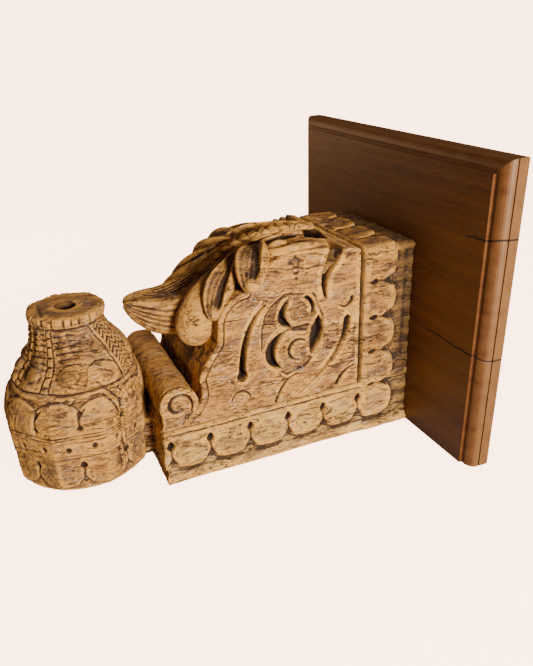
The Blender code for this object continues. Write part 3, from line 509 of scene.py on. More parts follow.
# Old teak: dry, weathered hardwood with open grain along the block. Raised places are rubbed
# to a honey colour and carry a painted highlight, flats are ochre with brown patches, and cuts
# and hollows hold dark dirt and painted shade. The band's paler copy is painted light.
def teak_material(name, flat, stained):
    """Weathered teak with its grain along the row's y; its flats run between the two colours."""
    material, tree, shader = new_material(name)
    place = add_node(tree, "TexCoord").outputs["Object"]
    hollow = add_node(tree, "Attribute", {"attribute_name": "hollow"}).outputs["Fac"]
    grime_and_painted_shade = add_node(tree, "Attribute", {"attribute_name": "grime_and_painted_shade"}).outputs["Fac"]
    wander = add_node(tree, "TexNoise", Vector=place, Scale=38.0, Detail=2.0)
    centred = add_node(tree, "VectorMath", {"operation": 'SUBTRACT'}, i0=wander.outputs["Color"],
                       i1=(0.5, 0.5, 0.5))
    bent = add_node(tree, "VectorMath", {"operation": 'MULTIPLY_ADD'}, i0=centred.outputs[0],
                    i1=(0.010, 0.010, 0.010), i2=place).outputs[0]

    def noise(across, along, detail, roughness=0.6, vector=bent):
        """Noise whose blobs measure across by along the grain, in mm."""
        scaled = add_node(tree, "Mapping", Vector=vector,
                          Scale=(1000 / across, 1000 / along, 1000 / across)).outputs[0]
        return add_node(tree, "TexNoise", Vector=scaled, Scale=1.0, Detail=detail,
                        Roughness=roughness).outputs["Fac"]

    between, maths, painted = colour_tools(tree)

    def hairline(value, width, where):
        """1 on the thin lines where noise crosses its middle, inside a mask."""
        line = between(maths('ABSOLUTE', maths('SUBTRACT', value, 0.5)), width, width * 0.25)
        return maths('MULTIPLY', line, where)

    patches = between(noise(26, 60, 3), 0.44, 0.60)
    clouds = noise(7, 16, 5, 0.7)
    streaks = noise(0.9, 11, 4, 0.7)
    long_streaks = noise(2.6, 40, 3)
    specks = noise(0.55, 1.6, 3, 0.7)
    long_cracks = hairline(noise(6, 60, 2, 0.5), 0.020, between(noise(18, 40, 2), 0.46, 0.56))
    short_cracks = hairline(noise(2.3, 17, 2, 0.5), 0.022, between(noise(9, 22, 2), 0.48, 0.58))
    cracks = maths('MAXIMUM', long_cracks, short_cracks)

    # Convex places: honey wear and a painted highlight along the raised edges.
    wear_and_highlight = maths('MULTIPLY', between(hollow, 0.485, 0.36), between(noise(5, 9, 3), 0.34, 0.54))
    dust = hairline(noise(4, 30, 3, 0.6), 0.012, between(noise(14, 20, 2), 0.50, 0.58))
    colour = painted(flat, (
        (patches, 1.0, stained),
        (between(clouds, 0.46, 0.64), 0.85, "#6c4630"),
        (between(clouds, 0.46, 0.30), 0.75, "#e0b067"),
        (between(long_streaks, 0.50, 0.64), 0.7, "#d79f50"),
        (between(streaks, 0.515, 0.65), 0.9, "#503320"),
        (between(specks, 0.56, 0.72), 0.9, "#3c2416"),
        (between(specks, 0.42, 0.28), 0.7, "#edc47c"),
        (wear_and_highlight, 0.85, "#e8ac50"),
        # Concave places darken: dirt and painted shade.
        (between(hollow, 0.51, 0.63), 0.92, "#331d0f"),
        (cracks, 0.85, "#2b190e"),
        (dust, 0.55, "#e0d2bd"),
        # Dirt and painted shade in deep cuts, under the lobes, on the cap and in other recesses.
        (grime_and_painted_shade, 0.88, "#24150b")))
    tree.links.new(colour, shader.inputs["Base Color"])
    rough = add_node(tree, "MapRange", Value=clouds, To_Min=0.55, To_Max=0.85).outputs[0]
    tree.links.new(rough, shader.inputs["Roughness"])
    shader.inputs["Specular IOR Level"].default_value = 0.35
    lines = add_node(tree, "Bump", Height=streaks, Strength=0.8, Distance=0.0012)
    pores = add_node(tree, "Bump", Height=specks, Strength=0.7, Distance=0.0008,
                     Normal=lines.outputs[0])
    splits = add_node(tree, "Bump", {"invert": True}, Height=cracks, Strength=0.9, Distance=0.0010,
                      Normal=pores.outputs[0])
    tree.links.new(splits.outputs[0], shader.inputs["Normal"])
    return material


teak = teak_material("old_weathered_teak", "#c48b41", "#8d6440")
# The band's paler copy is painted light: it stands for the brighter light that falls on the band.
lit_band_teak = teak_material("paler_lit_old_teak", "#dcae5c", "#ad8650")


def finish(item, material):
    """Give a piece of the block its material and its body, and hide the CAD node it stands for."""
    item.data.materials.append(material)
    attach(item, "root")
    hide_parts("carved_corbel")


# The backboard: a newer planed board, moulded on three edges by a cutter, stained dark and
# waxed to a satin finish. Its grain runs across, its upper far part is painted paler as painted
# light, and wear has turned the moulding's arrises tan.
def board_material(name):
    """Dark satin wood with its grain along x, two drying cracks and paler worn edges."""
    material, tree, shader = new_material(name)
    place = add_node(tree, "TexCoord").outputs["Object"]
    axes = add_node(tree, "SeparateXYZ", Vector=place).outputs

    def noise(along, across, detail, seed=0.0):
        """Noise whose blobs measure along by across the grain, in mm."""
        scaled = add_node(tree, "Mapping", Vector=place, Location=(seed, seed, seed),
                          Scale=(1000 / along, 1000 / across, 1000 / across)).outputs[0]
        return add_node(tree, "TexNoise", Vector=scaled, Scale=1.0, Detail=detail).outputs["Fac"]

    between, maths, painted = colour_tools(tree)

    def crack(height, rise_per_m, begin, wander):
        """A thin dark line across the board from begin outwards: |z - height - slope * x| small."""
        line = maths('MULTIPLY_ADD', axes["X"], rise_per_m, height)
        line = maths('MULTIPLY_ADD', maths('SUBTRACT', wander, 0.5), 0.006, line)
        near = between(maths('ABSOLUTE', maths('SUBTRACT', axes["Z"], line)), 0.0010, 0.0003)
        return maths('MULTIPLY', near, between(axes["X"], begin, begin + 0.012))

    wander = noise(16, 60, 2, 4.0)
    cracks = maths('MAXIMUM', crack(-0.0205, -0.036, 0.070, wander), crack(0.053, 0.087, 0.104, wander))
    bands = noise(180, 9, 4)
    lines = noise(60, 1.3, 4, 7.0)
    pores = noise(7, 0.5, 2, 3.0)
    # Painted light: the upper far part of the face is painted paler, as if more light fell on it.
    painted_light_upper_far = between(maths('SUBTRACT', axes["Z"], axes["X"]), 0.04, 0.24)
    outer = maths('MAXIMUM', between(maths('ABSOLUTE', axes["X"]), 0.1300, 0.1335),
                  between(axes["Z"], 0.1080, 0.1115))
    arris = maths('MAXIMUM', between(maths('ABSOLUTE', axes["X"]), 0.1395, 0.1412),
                  between(axes["Z"], 0.1175, 0.1192))
    rubbed = maths('MULTIPLY', outer, between(noise(20, 8, 4, 2.0), 0.30, 0.62))
    colour = painted("#592f0c", (
        (between(bands, 0.35, 0.65), 1.0, "#6a3f15"),
        (painted_light_upper_far, 0.6, "#8a5a2a"),
        (between(lines, 0.50, 0.66), 0.35, "#3a1f0a"),
        (between(pores, 0.58, 0.72), 0.5, "#221206"),
        (rubbed, 0.55, "#77502c"),
        (arris, 0.30, "#8f6a40"),
        (cracks, 0.9, "#140a04")))
    tree.links.new(colour, shader.inputs["Base Color"])
    rough = add_node(tree, "MapRange", Value=lines, To_Min=0.34, To_Max=0.52).outputs[0]
    rough = maths('MAXIMUM', rough, maths('MULTIPLY', cracks, 0.95))
    tree.links.new(rough, shader.inputs["Roughness"])
    grain = add_node(tree, "Bump", {"invert": True}, Height=pores, Strength=0.25, Distance=0.0004)
    splits = add_node(tree, "Bump", {"invert": True}, Height=cracks, Strength=0.5, Distance=0.0006,
                      Normal=grain.outputs[0])
    tree.links.new(splits.outputs[0], shader.inputs["Normal"])
    return material


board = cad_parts["backboard"]
board.data.materials.clear()
board.data.materials.append(board_material("dark_waxed_board"))

# The band: the foot of the same teak block, cut with hanging petals under a ledge of two
# grooves and a bead. One surface goes round both sides and the end.
CORNER = 2.2


def band_path(count):
    """Way round the block in plan, from board to end to board, as x and u."""
    radius = CORNER
    near = np.stack((np.full(count, HALF), np.linspace(0, LENGTH - radius, count)), -1)
    bend = np.radians(np.linspace(0, 90, 7)[1:-1])
    first = np.stack((HALF - radius + radius * np.cos(bend), LENGTH - radius + radius * np.sin(bend)), -1)
    end = np.stack((np.linspace(HALF - radius, -HALF + radius, count * 118 // 220),
                    np.full(count * 118 // 220, LENGTH)), -1)
    second = np.stack((-first[::-1, 0], first[::-1, 1]), -1)
    far = np.stack((np.full(count, -HALF), np.linspace(LENGTH - radius, 0, count)), -1)
    return np.vstack((near, first, end, second, far))


def end_relief(x, z):
    """Petals of the band's end."""
    return band_relief(x, z, np.array((-39.0, 0.0, 39.0)), -HALF - 6, HALF + 6)


BAND_TOP = 44.0
heights = np.concatenate(([0.0, 0.5, 1.2], np.linspace(2, 43, 60), np.linspace(43.5, LEDGE, 16)))
path = band_path(310)
base = np.zeros((len(heights), len(path), 3))
base[..., 0], base[..., 1] = path[:, 0], path[:, 1]
base[..., 2] = heights[:, None]
on_end = step(LENGTH - CORNER, LENGTH - 0.6, base[..., 1])
on_side = side_relief(base[..., 1], base[..., 2])
relief = on_side * (1 - on_end) + on_end * end_relief(base[..., 0], base[..., 2])
relief = np.where(base[..., 2] > BAND_TOP, 0.0, relief)
inset = ledge_inset(base[..., 2])
beside_cap = (base[..., 1] < CAP - 1) & (base[..., 2] > BAND_TOP)
relief = np.where(beside_cap, on_side, relief + inset)
relief[heights < 1.5] = np.maximum(relief[heights < 1.5], 1.0)
band = carved("petal_band", base, relief, rough=1.5)
# The band takes the paler copy of the teak, as painted light.
finish(band, lit_band_teak)

# The cap: the part of the block that stands against the board, with petals cut on its sides
# and, shallower, on its top. One surface goes up the near side, over it and down the far side.
def over_top(height, low, radius, side_count, top_count):
    """Inverted U in x and z from the near side's foot, over the top, to the far side's foot."""
    bend = np.radians(np.linspace(0, 90, 10)[1:-1])
    near = np.stack((np.full(side_count, HALF), np.linspace(low, height - radius, side_count)), -1)
    turn_up = np.stack((HALF - radius + radius * np.cos(bend), height - radius + radius * np.sin(bend)), -1)
    top = np.stack((np.linspace(HALF - radius, -HALF + radius, top_count), np.full(top_count, height)), -1)
    turn_down = np.stack((-turn_up[::-1, 0], turn_up[::-1, 1]), -1)
    far = np.stack((np.full(side_count, -HALF), np.linspace(height - radius, low, side_count)), -1)
    return np.vstack((near, turn_up, top, turn_down, far))


def carried_out(section, outs):
    """Grid of a section in x and z carried along u."""
    base = np.zeros((len(outs), len(section), 3))
    base[..., 0], base[..., 2] = section[:, 0], section[:, 1]
    base[..., 1] = outs[:, None]
    return base


CAP_CORNER = 8.0
base = carried_out(over_top(HEIGHT, BAND_TOP, CAP_CORNER, 170, 150), np.linspace(0.3, CAP, 76))
share = step(HEIGHT - CAP_CORNER, HEIGHT - 1.5, base[..., 2])
on_side = side_relief(base[..., 1], base[..., 2])
on_top = cap_relief(base[..., 1], base[..., 0], np.array((-32.0, 0.0, 31.0)), -HALF - 3, HALF + 3)
relief = on_side * (1 - share) + 0.5 * on_top * share
relief = np.maximum(relief, 7.0 * step(CAP - 2.3, CAP - 0.9, base[..., 1]))
# Painted shade over the cap, which the board shades, heavier on the recessed collar beside it.
cap = carved("petal_cap", base, relief, rough=1.4, added_grime_and_shade=0.27 + 0.58 * step(19, 12, base[..., 1]))
finish(cap, teak)

# The panels and the carved mass between them: sections across the block, each up one side,
# over the top and down the other, carried along the S-shaped front and the sloping top. They
# are one surface, parted at the upper edges into two panels and the ground of the leaf.
front = np.vstack((bezier((203, 52), (196, 58), (181, 66), (187.5, 84), 20),
                   bezier((187.5, 84), (184.5, 96), (176, 104), (171.5, 112), 24)[1:],
                   arc((145.5, 122.5), 25.2, -4, 84, 40)))
crest = np.vstack((front, bezier((146, 148), (138, 160), (126, 171), (110, 172), 24)[1:],
                   bezier((110, 172), (95, 173), (80, 172), (CAP, 165.5), 30)[1:]))


def distances(path):
    """Distance along a polyline of each of its points."""
    return np.concatenate(([0], np.cumsum(np.hypot(*np.diff(path, axis=0).T))))


def evenly(path, count, closed=False):
    """Points at even distances along a polyline, which may close on itself."""
    path = np.vstack((path, path[:1])) if closed else path
    span = distances(path)
    even = np.linspace(0, span[-1], count, endpoint=not closed)
    return np.stack([np.interp(even, span, path[:, k]) for k in (0, 1)], -1)


def headings(line):
    """Unit direction of a line at each of its points."""
    ahead = np.gradient(line, axis=0)
    return ahead / np.linalg.norm(ahead, axis=1, keepdims=True)


crest = evenly(crest, 380)
slope = headings(crest)
face_out = np.stack((slope[:, 1], -slope[:, 0]), -1)

side_count, bend_count, top_count = 170, 6, 104
round_edge = 2.6
base = np.zeros((len(crest), 2 * side_count + 2 * bend_count + top_count, 3))
t = np.linspace(0, 1, side_count)
foot = LEDGE - 0.8
foot_out = np.interp(np.linspace(0, 1, len(crest)), (0, 0.13, 0.5, 1), (203, 176, 124, CAP))
top_edge = crest - round_edge * np.clip(face_out, 0, 1)
base[:, :side_count, 1] = foot_out[:, None] * (1 - t) + top_edge[:, :1] * t
base[:, :side_count, 2] = foot * (1 - t) + top_edge[:, 1:] * t
base[:, :side_count, 0] = HALF
bend = np.radians(np.linspace(0, 90, bend_count + 2)[1:-1])
for k, angle in enumerate(bend):
    lift = round_edge * (math.sin(angle) - 1)
    base[:, side_count + k, 0] = HALF - round_edge * (1 - math.cos(angle))
    base[:, side_count + k, 1] = crest[:, 0] + face_out[:, 0] * lift
    base[:, side_count + k, 2] = crest[:, 1] + face_out[:, 1] * lift
start = side_count + bend_count
base[:, start:start + top_count, 0] = np.linspace(HALF - round_edge, -HALF + round_edge, top_count)
base[:, start:start + top_count, 1] = crest[:, :1]
base[:, start:start + top_count, 2] = crest[:, 1:]
mirror_part = base[:, :start][:, ::-1].copy()
mirror_part[..., 0] *= -1
base[:, start + top_count:] = mirror_part
base[..., 0] *= -1
# The far crown is lower than the near one, as the photo's outline shows.
sag = step(12, 62, -base[..., 0]) * step(66, 84, base[..., 1]) * step(100, 160, base[..., 2])
base[..., 2] -= 13.0 * sag
x, u, z = base[..., 0], base[..., 1], base[..., 2]
column = np.arange(base.shape[1])
sideways = np.where(column < side_count, 1.0, 0.0)
sideways[side_count:start] = np.cos(bend) ** 2
sideways = np.maximum(sideways, sideways[::-1])
channel_board = np.interp(x, (-61, -40, -20, -8, 6, 16, 36, 61), (61, 61, 61.5, 61, 60, 64, 67, 68))
channel_leaf = np.interp(x, (-61, -20, 15, 40, 61), (72, 70, 76, 74, 80))
middle = (channel_board + channel_leaf) / 2
half_gap = (channel_leaf - channel_board) / 2
on_top = 11.0 * step(half_gap + 0.9, half_gap - 0.9, np.abs(u - middle)) * step(120, 140, z)
valley = 3.5 * step(12, 3, np.abs(np.abs(x) - 15)) * step(66, 76, u) * step(150, 120, u)
on_top = np.maximum(on_top, valley)
x_side = np.abs(x)
curl = [(47, 74), (50, 90), (52, 104), (52, 115), (48, 121.5), (42, 120), (39, 113), (41, 106)]
inner_curl = [(14, 84), (24, 92), (33, 103), (36, 116), (35, 128)]
on_top += ridge(x_side, u, curl, 3.0, 2.4) + ridge(x_side, u, inner_curl, 3.2, 2.2)
on_top += 1.2 * step(6, 1, np.hypot((x_side - 46) / 0.9, (u - 97) / 3.2))
holes = ((45.5, 113.5, 2.3, 5.0), (41.5, 100.0, 2.0, 4.0), (28.0, 112.0, 1.6, 2.5))
for hole_x, hole_u, hole_half, hole_depth in holes:
    from_hole = np.hypot(x_side - hole_x, (u - hole_u) / 1.6)
    on_top = np.maximum(on_top, hole_depth * step(1.3, 0.6, from_hole / hole_half))
from_front, _ = to_path(u, z, front)
edge_line = 1.0 + 1.5 * step(0.9, 0.2, np.abs(from_front - 4.4))
panel_side = np.maximum(side_relief(u, z), edge_line)
relief = panel_side * sideways + on_top * (1 - sideways)
relief = np.maximum(relief, 7.0 * step(CAP + 2.3, CAP + 0.9, u))
# Painted shade in the recess between the lobes on the crown and in the channel before the cap.
added_grime_and_shade = 0.62 * (1 - sideways) * step(9, 16, x_side) * step(54, 48, x_side) * step(100, 118, u)
channel = step(half_gap + 2.2, half_gap + 0.8, np.abs(u - middle)) * step(120, 140, z) * (1 - sideways)
points, grime_and_painted_shade = cut_in(base, relief, added_grime_and_shade=np.maximum(added_grime_and_shade, 0.75 * channel))
seam = start - 1
far_seam = points.shape[1] - start
core = crest - 22 * face_out
at_foot = np.column_stack((foot_out, np.full(len(crest), foot)))
for name, first, last, behind in (
        ("scroll_panel_far", 0, seam + 1, ((-30, crest), (-30, at_foot))),
        ("leaf_ground", seam, far_seam + 1, ((50, core), (-50, core))),
        ("scroll_panel_near", far_seam, points.shape[1], ((30, at_foot), (30, crest)))):
    columns = [np.column_stack((np.full(len(crest), x_place), place)) for x_place, place in behind]
    piece = grid_object(name, points[:, first:last], False, grime_and_painted_shade[:, first:last], columns)
    finish(piece, teak)

# The roll: a scroll of the same wood left standing across the front, rubbed smooth, with a
# spiral cut into both ends. Its outline is carried along x and closed by rings on the ends.
outline = np.vstack(([(198.5, 50.0), (218.6, 50.0), (218.9, 52.0), (217.5, 55.5)],
                     arc((204.8, 69.0), 14.5, -22, 222, 110), [(196.5, 57.0), (198.0, 53.5)]))
outline = evenly(outline, 170, closed=True)
centre = np.array((205.2, 67.5))
inward = np.linspace(0.02, 0.985, 26)
rings = [(HALF, share) for share in inward]
rings += [(x_place, 1.0) for x_place in np.linspace(HALF, -HALF, 150)[1:-1]]
rings += [(-HALF, share) for share in reversed(inward)]
base = np.zeros((len(rings), len(outline), 3))
for k, (x_place, share) in enumerate(rings):
    base[k, :, 0] = x_place
    base[k, :, 1:] = centre + (outline - centre) * share
    base[k, :, 0] -= math.copysign(1.0 * max(0.0, (share - 0.9) / 0.1) ** 2 if share < 1 else 0.0, x_place)
face = np.abs(base[..., 0]) >= HALF - 1e-6
winding = np.radians(np.linspace(215, -125, 34))
curl_radius = np.linspace(11.2, 4.4, 34)
spiral = np.stack((205.2 + curl_radius * np.cos(winding), 68.8 + curl_radius * np.sin(winding)), -1)
cut = groove(base[..., 1], base[..., 2], spiral, (0.3, 0.9, 1.1, 1.2, 1.3, 1.3, 0.9), 3.4, 0.5)
relief = np.where(face, 0.6 + cut + 1.8 * step(206, 199, base[..., 1]) * step(64, 58, base[..., 2]), 0.0)
roll = carved("front_roll", base, relief, closed=True)
finish(roll, teak)

# The web: plain wood left between the pendant and the block's end, which holds the pendant.
# It lies out of sight in a dark gap, so the carver only dressed it roughly.
WEB_HALF, WEB_TOP, WEB_LOW = 28.0, 46.0, 14.0
section = over_top(WEB_TOP, WEB_LOW, 3.0, 24, 36) * (WEB_HALF / HALF, 1.0)
base = carried_out(section, np.linspace(214.0, 243.0, 24))
web = carved("pendant_web", base, np.full(base.shape[:2], 0.6))
finish(web, teak)

# The pendant: a turned and carved bell on nine soft facets, its neck leaning back over the
# block, with a notched disc on top and a drilled hole for a finial's peg.
PENDANT_OUT = 50.8
PENDANT_FOOT = 12.0
FACET = 40
BELLY_PETAL = 36
profile = np.array(((0, 0.5), (0, 20), (0, 40), (0.3, 49), (1.6, 50.6), (4, 51.2), (16, 51.5), (29.2, 51.6),
                    (30.2, 53.0), (42.6, 53.1), (43.6, 52.9), (49, 53.2), (55, 53.2), (61, 52.2), (68, 50.4),
                    (74, 48.2), (75.6, 47.8), (77.4, 45.6), (82, 43.6), (90, 40.0), (99, 34.8), (108, 29.4),
                    (114, 27.2), (120.4, 26.4), (121.4, 27.8), (124, 28.6), (127.4, 28.4), (128.5, 27.4),
                    (128.6, 24), (128.6, 8.2), (128.0, 7.3), (110, 7.2), (98.6, 7.0), (98.6, 0.5)))
# How many rows each stretch of the profile is cut into.
spacing = np.array((2, 2, 6, 4, 4, 14, 15, 3, 15, 3, 8, 8, 8, 9, 8, 3, 3, 7, 11, 12, 12, 8, 8, 3, 4, 5,
                    3, 4, 16, 2, 8, 2, 2))
rows = np.concatenate([np.linspace(k, k + 1, n, endpoint=False) for k, n in enumerate(spacing)] + [[33.0]])
rise = np.interp(rows, np.arange(34), profile[:, 0])[:, None]
radius = np.interp(rows, np.arange(34), profile[:, 1])[:, None]
turns = np.radians(np.arange(0, 360, 0.9))[None]
degrees = np.degrees(turns)
lean = 3.0 * step(50, 95, rise) + 3.4 * np.exp(-((rise - 96) / 12) ** 2)
facet = step(0, 2, rise) * step(75, 40, rise)
facet_turn = np.radians((degrees + 28) % FACET - FACET / 2)
wide = radius * (1 + 0.75 * facet * (1 / np.cos(facet_turn) - 1.02))
level = rise + 0 * turns
base = np.stack((wide * np.cos(turns), LENGTH + PENDANT_OUT - lean - wide * np.sin(turns),
                 PENDANT_FOOT + level), -1)
rim = step(121.2, 122, rise) * step(24, 27, radius)
side = step(0, 1.5, rise) * step(121.5, 120.5, rise) * step(20, 24, radius)


def nearest(angle, first, pitch):
    """Signed angle from the nearest of the places first + k * pitch."""
    return (angle - first + pitch / 2) % pitch - pitch / 2


def line_round(height, half, depth):
    """A line cut right round the pendant at one height, a little uneven by hand."""
    wave = 0.35 * np.sin(3 * turns + height) + 0.25 * np.sin(7 * turns + 2 * height)
    return depth * step(half + 0.5, half - 0.2, np.abs(rise - height - wave))


mm_per_degree = 52.0 * math.pi / 180
cut = np.zeros(base.shape[:2])
# Foot: nine upright petals, each pair parted by a slit and a drilled eye, under plain rings.
low = nearest(degrees, -8, FACET) * mm_per_degree
share = np.abs(nearest(degrees, 12, FACET)) / (FACET / 2)
foot = 4.0 + 9.0 * (1 - dome(share, 2.6))
cut += 1.4 * step(0.9, -0.9, rise - foot) * step(0, 3, rise)
cut -= 0.8 * dome(share) * step(4, 9, rise) * step(29, 22, rise)
small = nearest(degrees, -17, FACET / 2) * mm_per_degree
cut = deepest(cut, groove(low, level, [(0.4, 20), (-0.3, 13), (0.2, 8)], (0.8, 0.6, 1.6), 2.6),
              groove(low, level, [(0, 10.5), (4.6, 6.2)], (0.9, 0.3), 2.0),
              groove(low, level, [(0, 10.5), (-4.8, 6.4)], (0.9, 0.3), 2.0),
              eye(low, level, (0.2, 22.0), 2.7, 3.2, 5.0),
              eye(small, level, (0.0, 38.0 + 0.6 * np.sin(5 * turns)), 1.9, 2.3, 4.0),
              line_round(29.6, 0.5, 1.2), line_round(32.4, 0.2, 0.5), line_round(42.8, 0.5, 1.3),
              line_round(45.6, 0.3, 1.0), line_round(48.2, 0.4, 1.1))
# Belly: ten larger petals that stand the other way up, their crowns under the bell's edge.
high = nearest(degrees, -6, BELLY_PETAL) * mm_per_degree
share = np.abs(nearest(degrees, 12, BELLY_PETAL)) / (BELLY_PETAL / 2)
crown = 73.0 - 8.0 * (1 - dome(share, 2.2))
above = step(-0.9, 0.9, rise - crown) * step(76, 75, rise)
cut += 1.5 * above
cut -= 0.9 * dome(share) * step(50, 56, rise) * step(74, 68, rise)
cut = deepest(cut, groove(high, level, [(0, 54), (-0.4, 60), (0.4, 66)], (0.8, 0.6, 1.5), 2.4),
              groove(high, level, [(0.2, 63), (4.4, 68.5)], (1.0, 0.3), 1.8),
              eye(high, level, (0.0, 53.8), 2.3, 2.6, 4.5),
              line_round(75.4, 0.5, 1.1), line_round(78.6, 0.4, 1.0))
# Bell, towards the front: ladder strips between panels that each hold a boss under scale courses.
bell = step(78.5, 80, rise) * step(119.5, 117, rise)
on_bell = math.pi / 180 * radius
folded = 90 - np.abs(nearest(degrees, 90, 360)) + 1.2 * lattice(base, (9, 9, 6), 22)
strip = np.minimum(np.abs(folded + 38 + 0.04 * (rise - 96)), np.abs(folded + 75)) * on_bell
strip_half = np.interp(rise, (79, 95, 118), (3.2, 2.6, 1.9))
edges = 1.7 * step(0.9, 0.2, np.abs(strip - strip_half))
rung_place = rise + 0.8 * np.sin(5 * turns) + 0.9 * lattice(base, (6, 6, 9), 24)
rungs = 1.3 * step(0.8, 0.25, np.abs((rung_place - 79) % 6.4 - 3.2)) * (strip < strip_half)
cut += bell * (np.maximum(edges, rungs) - 0.5 * step(0.3, -0.3, strip - strip_half))
panel_middle = np.where(folded > -38, -16.0, np.where(folded > -75, -56.5, -90.0))
mid = (folded - panel_middle) * on_bell
with_boss = step(strip_half + 0.6, strip_half + 1.4, strip) * step(5, 3, folded)
pillow_half = np.interp(rise, (79, 84, 92, 102, 114), (11.0, 11.5, 9.0, 5.0, 3.4))
pillow = 1.3 * step(1.0, 0.2, np.abs(mid) / pillow_half)
boss = np.hypot(mid / 6.2, (rise - 89.5) / 5.0)
course_place = np.abs((rise - 98 + 0.6 * np.sin(9 * turns)) % 3.9 - 1.95)
courses = 0.8 * step(0.8, 0.2, course_place) * step(95, 98, rise)
cut += bell * with_boss * (courses * step(8.5, 7.0, np.abs(mid)) - pillow - 1.6 * step(1.15, 0.45, boss)
                           + 0.3 * step(0.3, 0.1, np.abs(boss - 1.2)) * step(90, 87, rise))
# Bell, towards the sides: a rising double bead, a leaf's outline in front and herringbone beyond.
band_at = np.interp(rise, (79, 82.5, 90, 96, 107, 118), (44, 43, 38, 35.5, 36, 29))
from_band = (folded - band_at) * on_bell
twin = 1.4 * step(0.8, 0.2, np.abs(np.abs(from_band) - 1.5)) - 0.8 * step(1.4, 0.7, np.abs(from_band))
flat_out = folded * 0.66
leaf_line = [(2.0, 94), (8.0, 96.5), (15.0, 95.5), (22.0, 92.0), (27.0, 86), (28.5, 80)]
under_leaf = [(2.0, 90), (9.0, 90.5), (16.0, 88.0), (20.5, 84)]
leaf_cut = deepest(groove(flat_out, level, leaf_line, (0.2, 0.6, 0.7, 0.4), 1.0, 0.4),
                   groove(flat_out, level, under_leaf, (0.2, 0.5, 0.2), 0.7, 0.4))
beyond = step(1.8, 2.6, from_band) * step(74, 71, folded)
chevron = (rise + 0.8 * np.abs((from_band - 2.5) % 8.0 - 4.0) + 0.5 * lattice(base, (5, 5, 5), 25)) % 3.4
hatch = 1.2 * step(1.1, 0.4, np.abs(chevron - 1.7))
strokes = hatch * beyond + twin * step(-2.6, -1.9, from_band) + leaf_cut * step(-1.2, -2.0, from_band)
strokes -= 0.8 * step(0.0, 3.0, folded) * step(-2, -4, from_band) * step(97, 90, rise)
cut += bell * step(1, 3, folded) * strokes
# Disc: notches round its rim. The side that faces the block stays plain.
notch = np.abs(nearest(degrees + 2.5 * np.sin(5 * turns) + 1.5 * np.sin(11 * turns), 0, 15.0)) * 0.5
cut = cut * side + rim * (1.7 * step(1.2, 0.3, notch) + 0.5 + 0.4 * np.sin(7 * turns + 1))
cut += 1.0 * side * step(118.5, 120.5, rise)
facing_block = step(35, 60, nearest(degrees, 90, 360) * -1) + step(35, 60, nearest(degrees, 90, 360))
cut *= np.where(rise < 60, np.clip(facing_block, 0, 1), 1)
# Painted shade fills the drilled hole; the rest is a little darker with dirt, most on the bosses.
in_hole = 0.95 * step(28.96, 29.2, rows[:, None]) + 0 * turns
boss_dirt = 0.6 * bell * with_boss * step(1.0, 0.6, boss)
pendant = carved("pendant", base, cut, closed=True, added_grime_and_shade=np.maximum(in_hole, 0.09 + boss_dirt))
finish(pendant, teak)

# The leaf: lobes that spring from a scaly midrib and curl over the sides, undercut so that they
# stand clear of the block. Each is a closed skin round a bent line, hollowed on top where it
# curls, its board-side rim rolled over and carried round its end.
def rounded(points, places):
    """Catmull-Rom curve through points, read at places 0..1: each span uses its neighbours' chords."""
    points = np.asarray(points, float)
    padded = np.vstack((2 * points[0] - points[1], points, 2 * points[-1] - points[-2]))
    t = np.asarray(places) * (len(points) - 1)
    k = np.minimum(t.astype(int), len(points) - 2)
    f = (t - k)[:, None]
    a, b, c, d = padded[k], padded[k + 1], padded[k + 2], padded[k + 3]
    squared, cubed = 2 * a - 5 * b + 4 * c - d, 3 * b - a - 3 * c + d
    return 0.5 * (2 * b + (c - a) * f + squared * f ** 2 + cubed * f ** 3)


# The far lobes hang lower by this share of their distance from the middle.
FAR_SLOPE = 0.23


